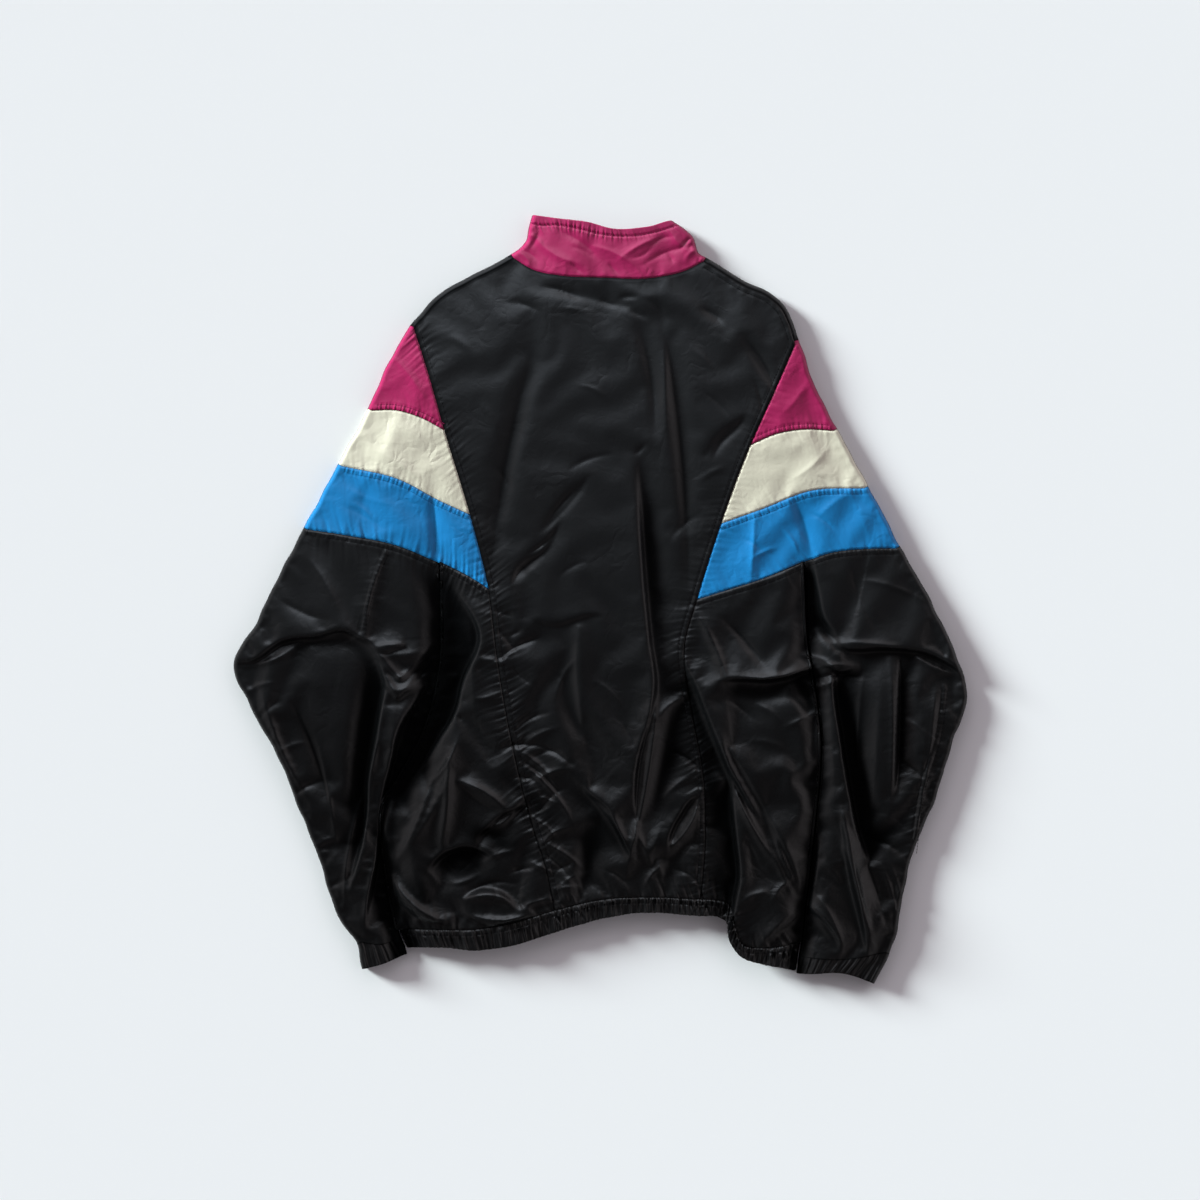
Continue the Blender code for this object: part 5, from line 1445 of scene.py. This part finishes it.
# Waistband ----------------------------------------------------------------------------------------
# The black waistband: cloth turned in over wide elastic and stitched through, so it gathers the body.
HEM_ROWS = shares(24, 3)
WAIST_GATHERS = 0.8
folds = [crevice_fold(side, "side end", "hem end", HEM_ROWS, into_sleeve=False) for side in SIDES]
HEM_BACK = np.linspace(0, 1, 321)
HEM_SIDE = np.linspace(0, 1, 201)
lines = [joined(hem_line(level, HEM_SIDE, HEM_BACK)) for level in ("top", "bottom")]
plan = patch(*lines, folds[0][2], folds[1][2], np.linspace(0, 1, len(lines[0])), HEM_ROWS)
grid = turned_in(ring(plan, plan.copy(), folds[0][:2], folds[1][:2], UNDERARM_FOLD, WAIST_GATHERS))
waistband = piece("waistband_shell", [grid], black, "waistband")


# Zip ----------------------------------------------------------------------------------------------
# The closed zip between the fronts: moulded plastic teeth on a woven tape. The slider is the part's
# own, in the same plastic.
TOOTH_PITCH = 2.4
TOOTH = np.array([1.9, 0.75, 1.0])
TOOTH_SWAY = 0.8
TAPE = (2.8, 0.3)
CHAIN_HEIGHT = 1.2
CORNERS = np.array([(x, y, z) for x in (-1, 1) for y in (-1, 1) for z in (-1, 1)], dtype=float)
BLOCK_FACES = np.array([(0, 1, 3, 2), (4, 6, 7, 5), (0, 4, 5, 1), (2, 3, 7, 6), (0, 2, 6, 4), (1, 5, 7, 3)])


def blocks(name, centres, halves, finish):
    """One mesh of many small blocks: each has its centre and its three half edges as vectors."""
    points = centres[:, None] + np.einsum("kc,ncd->nkd", CORNERS, halves)
    faces = np.arange(len(centres))[:, None, None] * len(CORNERS) + BLOCK_FACES
    mesh = bpy.data.meshes.new(name)
    mesh.from_pydata((points.reshape(-1, 3) * MM).tolist(), [], faces.reshape(-1, 4).tolist())
    mesh.materials.append(finish)
    thing = placed(name, mesh)
    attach(thing, "root")
    return thing


plastic = plain("zip_plastic", (0.012, 0.012, 0.014), 0.32)
slider_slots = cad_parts["zip_slider"].data.materials
slider_slots.clear()
slider_slots.append(plastic)
tooth_y = np.arange(ZIP_HEM[1] + 1.5, ZIP_COLLAR[1] - 1.0, TOOTH_PITCH)
sway = TOOTH_SWAY * (-1) ** np.arange(len(tooth_y))
teeth = np.column_stack([zip_x(tooth_y) + sway, tooth_y, np.full(len(tooth_y), CHAIN_HEIGHT)])
tape_middle = np.array([*(ZIP_HEM + ZIP_COLLAR) / 2, CHAIN_HEIGHT])
tape_run = (*(ZIP_COLLAR - ZIP_HEM) / 2, 0)
tape_halves = np.array([(TAPE[0], 0, 0), tape_run, (0, 0, TAPE[1])])
halves = np.vstack([np.repeat(np.diag(TOOTH)[None], len(teeth), axis=0), tape_halves[None]])
chain = blocks("zip_teeth", np.vstack([teeth, tape_middle]), halves, plastic)
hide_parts("zip_chain")


# Stitching ----------------------------------------------------------------------------------------
# Lockstitches of polyester thread, about three to the centimetre, along each topstitched seam.
STITCH_STEP = 3.0
STITCH_HALF = (1.05, 0.3, 0.2)
STITCH_LIFT = 0.1
THREADS = {"black": (0.002, 0.002, 0.003), "magenta": (0.25, 0.008, 0.07), "blue": (0.006, 0.12, 0.32)}
THREAD_ROUGHNESS = 0.75
THREAD_SHEEN = 0.15


def stitches(name, seams, finish):
    """Short raised blocks along lines that run beside the seams, in the dips of their stitching."""
    ends = []
    for seam in seams:
        along = unit(np.gradient(seam.points, axis=0))
        line = seam.points + seam.strip * STRIP_WIDTH * np.column_stack([-along[:, 1], along[:, 0]])
        lengths = lengths_along(line)
        starts = np.arange(3.0, lengths[-1] - 5.0, STITCH_STEP)
        ends.append(np.stack([np.column_stack([np.interp(at, lengths, line[:, k]) for k in (0, 1)])
                              for at in (starts, starts + 2 * STITCH_HALF[0])], axis=1))
    ends = np.vstack(ends)
    ends = raised(ends, height(ends) + STITCH_LIFT)
    run = (ends[:, 1] - ends[:, 0]) / 2
    side = np.column_stack([-run[:, 1], run[:, 0], 0 * run[:, 0]])
    side *= STITCH_HALF[1] / np.linalg.norm(side, axis=1, keepdims=True)
    up = np.cross(run, side)
    up *= STITCH_HALF[2] / np.linalg.norm(up, axis=1, keepdims=True)
    blocks(name, ends.mean(axis=1), np.stack([run, side, up], axis=1), finish)


for colour, shade in THREADS.items():
    finish = plain(f"{colour}_thread", shade, THREAD_ROUGHNESS, THREAD_SHEEN)
    seams = [seam for seam in SEAMS if seam.thread == colour]
    stitches(f"stitches_{colour}", seams, finish)


# Surface, light and camera ------------------------------------------------------------------------
# A plain pale surface, seen from straight above. A low sun from the left lights the colours and casts the
# shadow, and a window beyond the collar gives the nylon its sheen.
floor_mesh = bpy.data.meshes.new("floor")
floor_mesh.from_pydata([(-6, -6, 0), (6, -6, 0), (6, 6, 0), (-6, 6, 0)], [], [(0, 1, 2, 3)])
floor_mesh.materials.append(plain("floor", (0.862, 0.875, 0.925), 0.9, 0.0))
floor = placed("floor", floor_mesh)

world = bpy.data.worlds.new("room")
world.use_nodes = True
room = Wire(world.node_tree)
toward = room.node("ShaderNodeTexCoord")
x, y, z = (room.node("ShaderNodeSeparateXYZ", output=k, Vector=toward) for k in range(3))
low = ((0.84 - z) * 2.8).limited(0.0, 1.0)
glow = 0.05 + low * (0.66 + 0.62 * y + 0.14 * x).limited(0.06, 2.0)
backdrop = world.node_tree.nodes["Background"]
backdrop.inputs["Color"].default_value = (1.05, 0.96, 0.985, 1)
join(backdrop.inputs["Strength"], glow * 1.05)
bpy.context.scene.world = world


def lamp(name, kind, place, **settings):
    """Light of a kind at a place, turned to face the origin."""
    light = bpy.data.lights.new(name, kind)
    for key, value in settings.items():
        setattr(light, key, value)
    thing = placed(name, light)
    thing.location = place
    thing.rotation_euler = thing.location.to_track_quat("Z", "Y").to_euler()
    return thing


low_sun = lamp("low sun", "SUN", (-1.0, 0.54, 0.28), energy=8.0, angle=0.26, color=(0.95, 1.05, 1.0))
low_sun.visible_glossy = False
window = lamp("window", "AREA", (-0.3, 1.15, 0.95), energy=14.0, size=1.1, color=(0.9, 1.0, 1.12))
window.visible_diffuse = False

camera_data = bpy.data.cameras.new("camera")
camera_data.lens = 85
camera_data.sensor_width = 36
camera = placed("camera", camera_data)
PHOTO_WIDTH = 1.2
camera.location = (-0.0005, 0.0, PHOTO_WIDTH * camera_data.lens / camera_data.sensor_width)
bpy.context.scene.camera = camera
bpy.context.scene.view_settings.view_transform = "Standard"
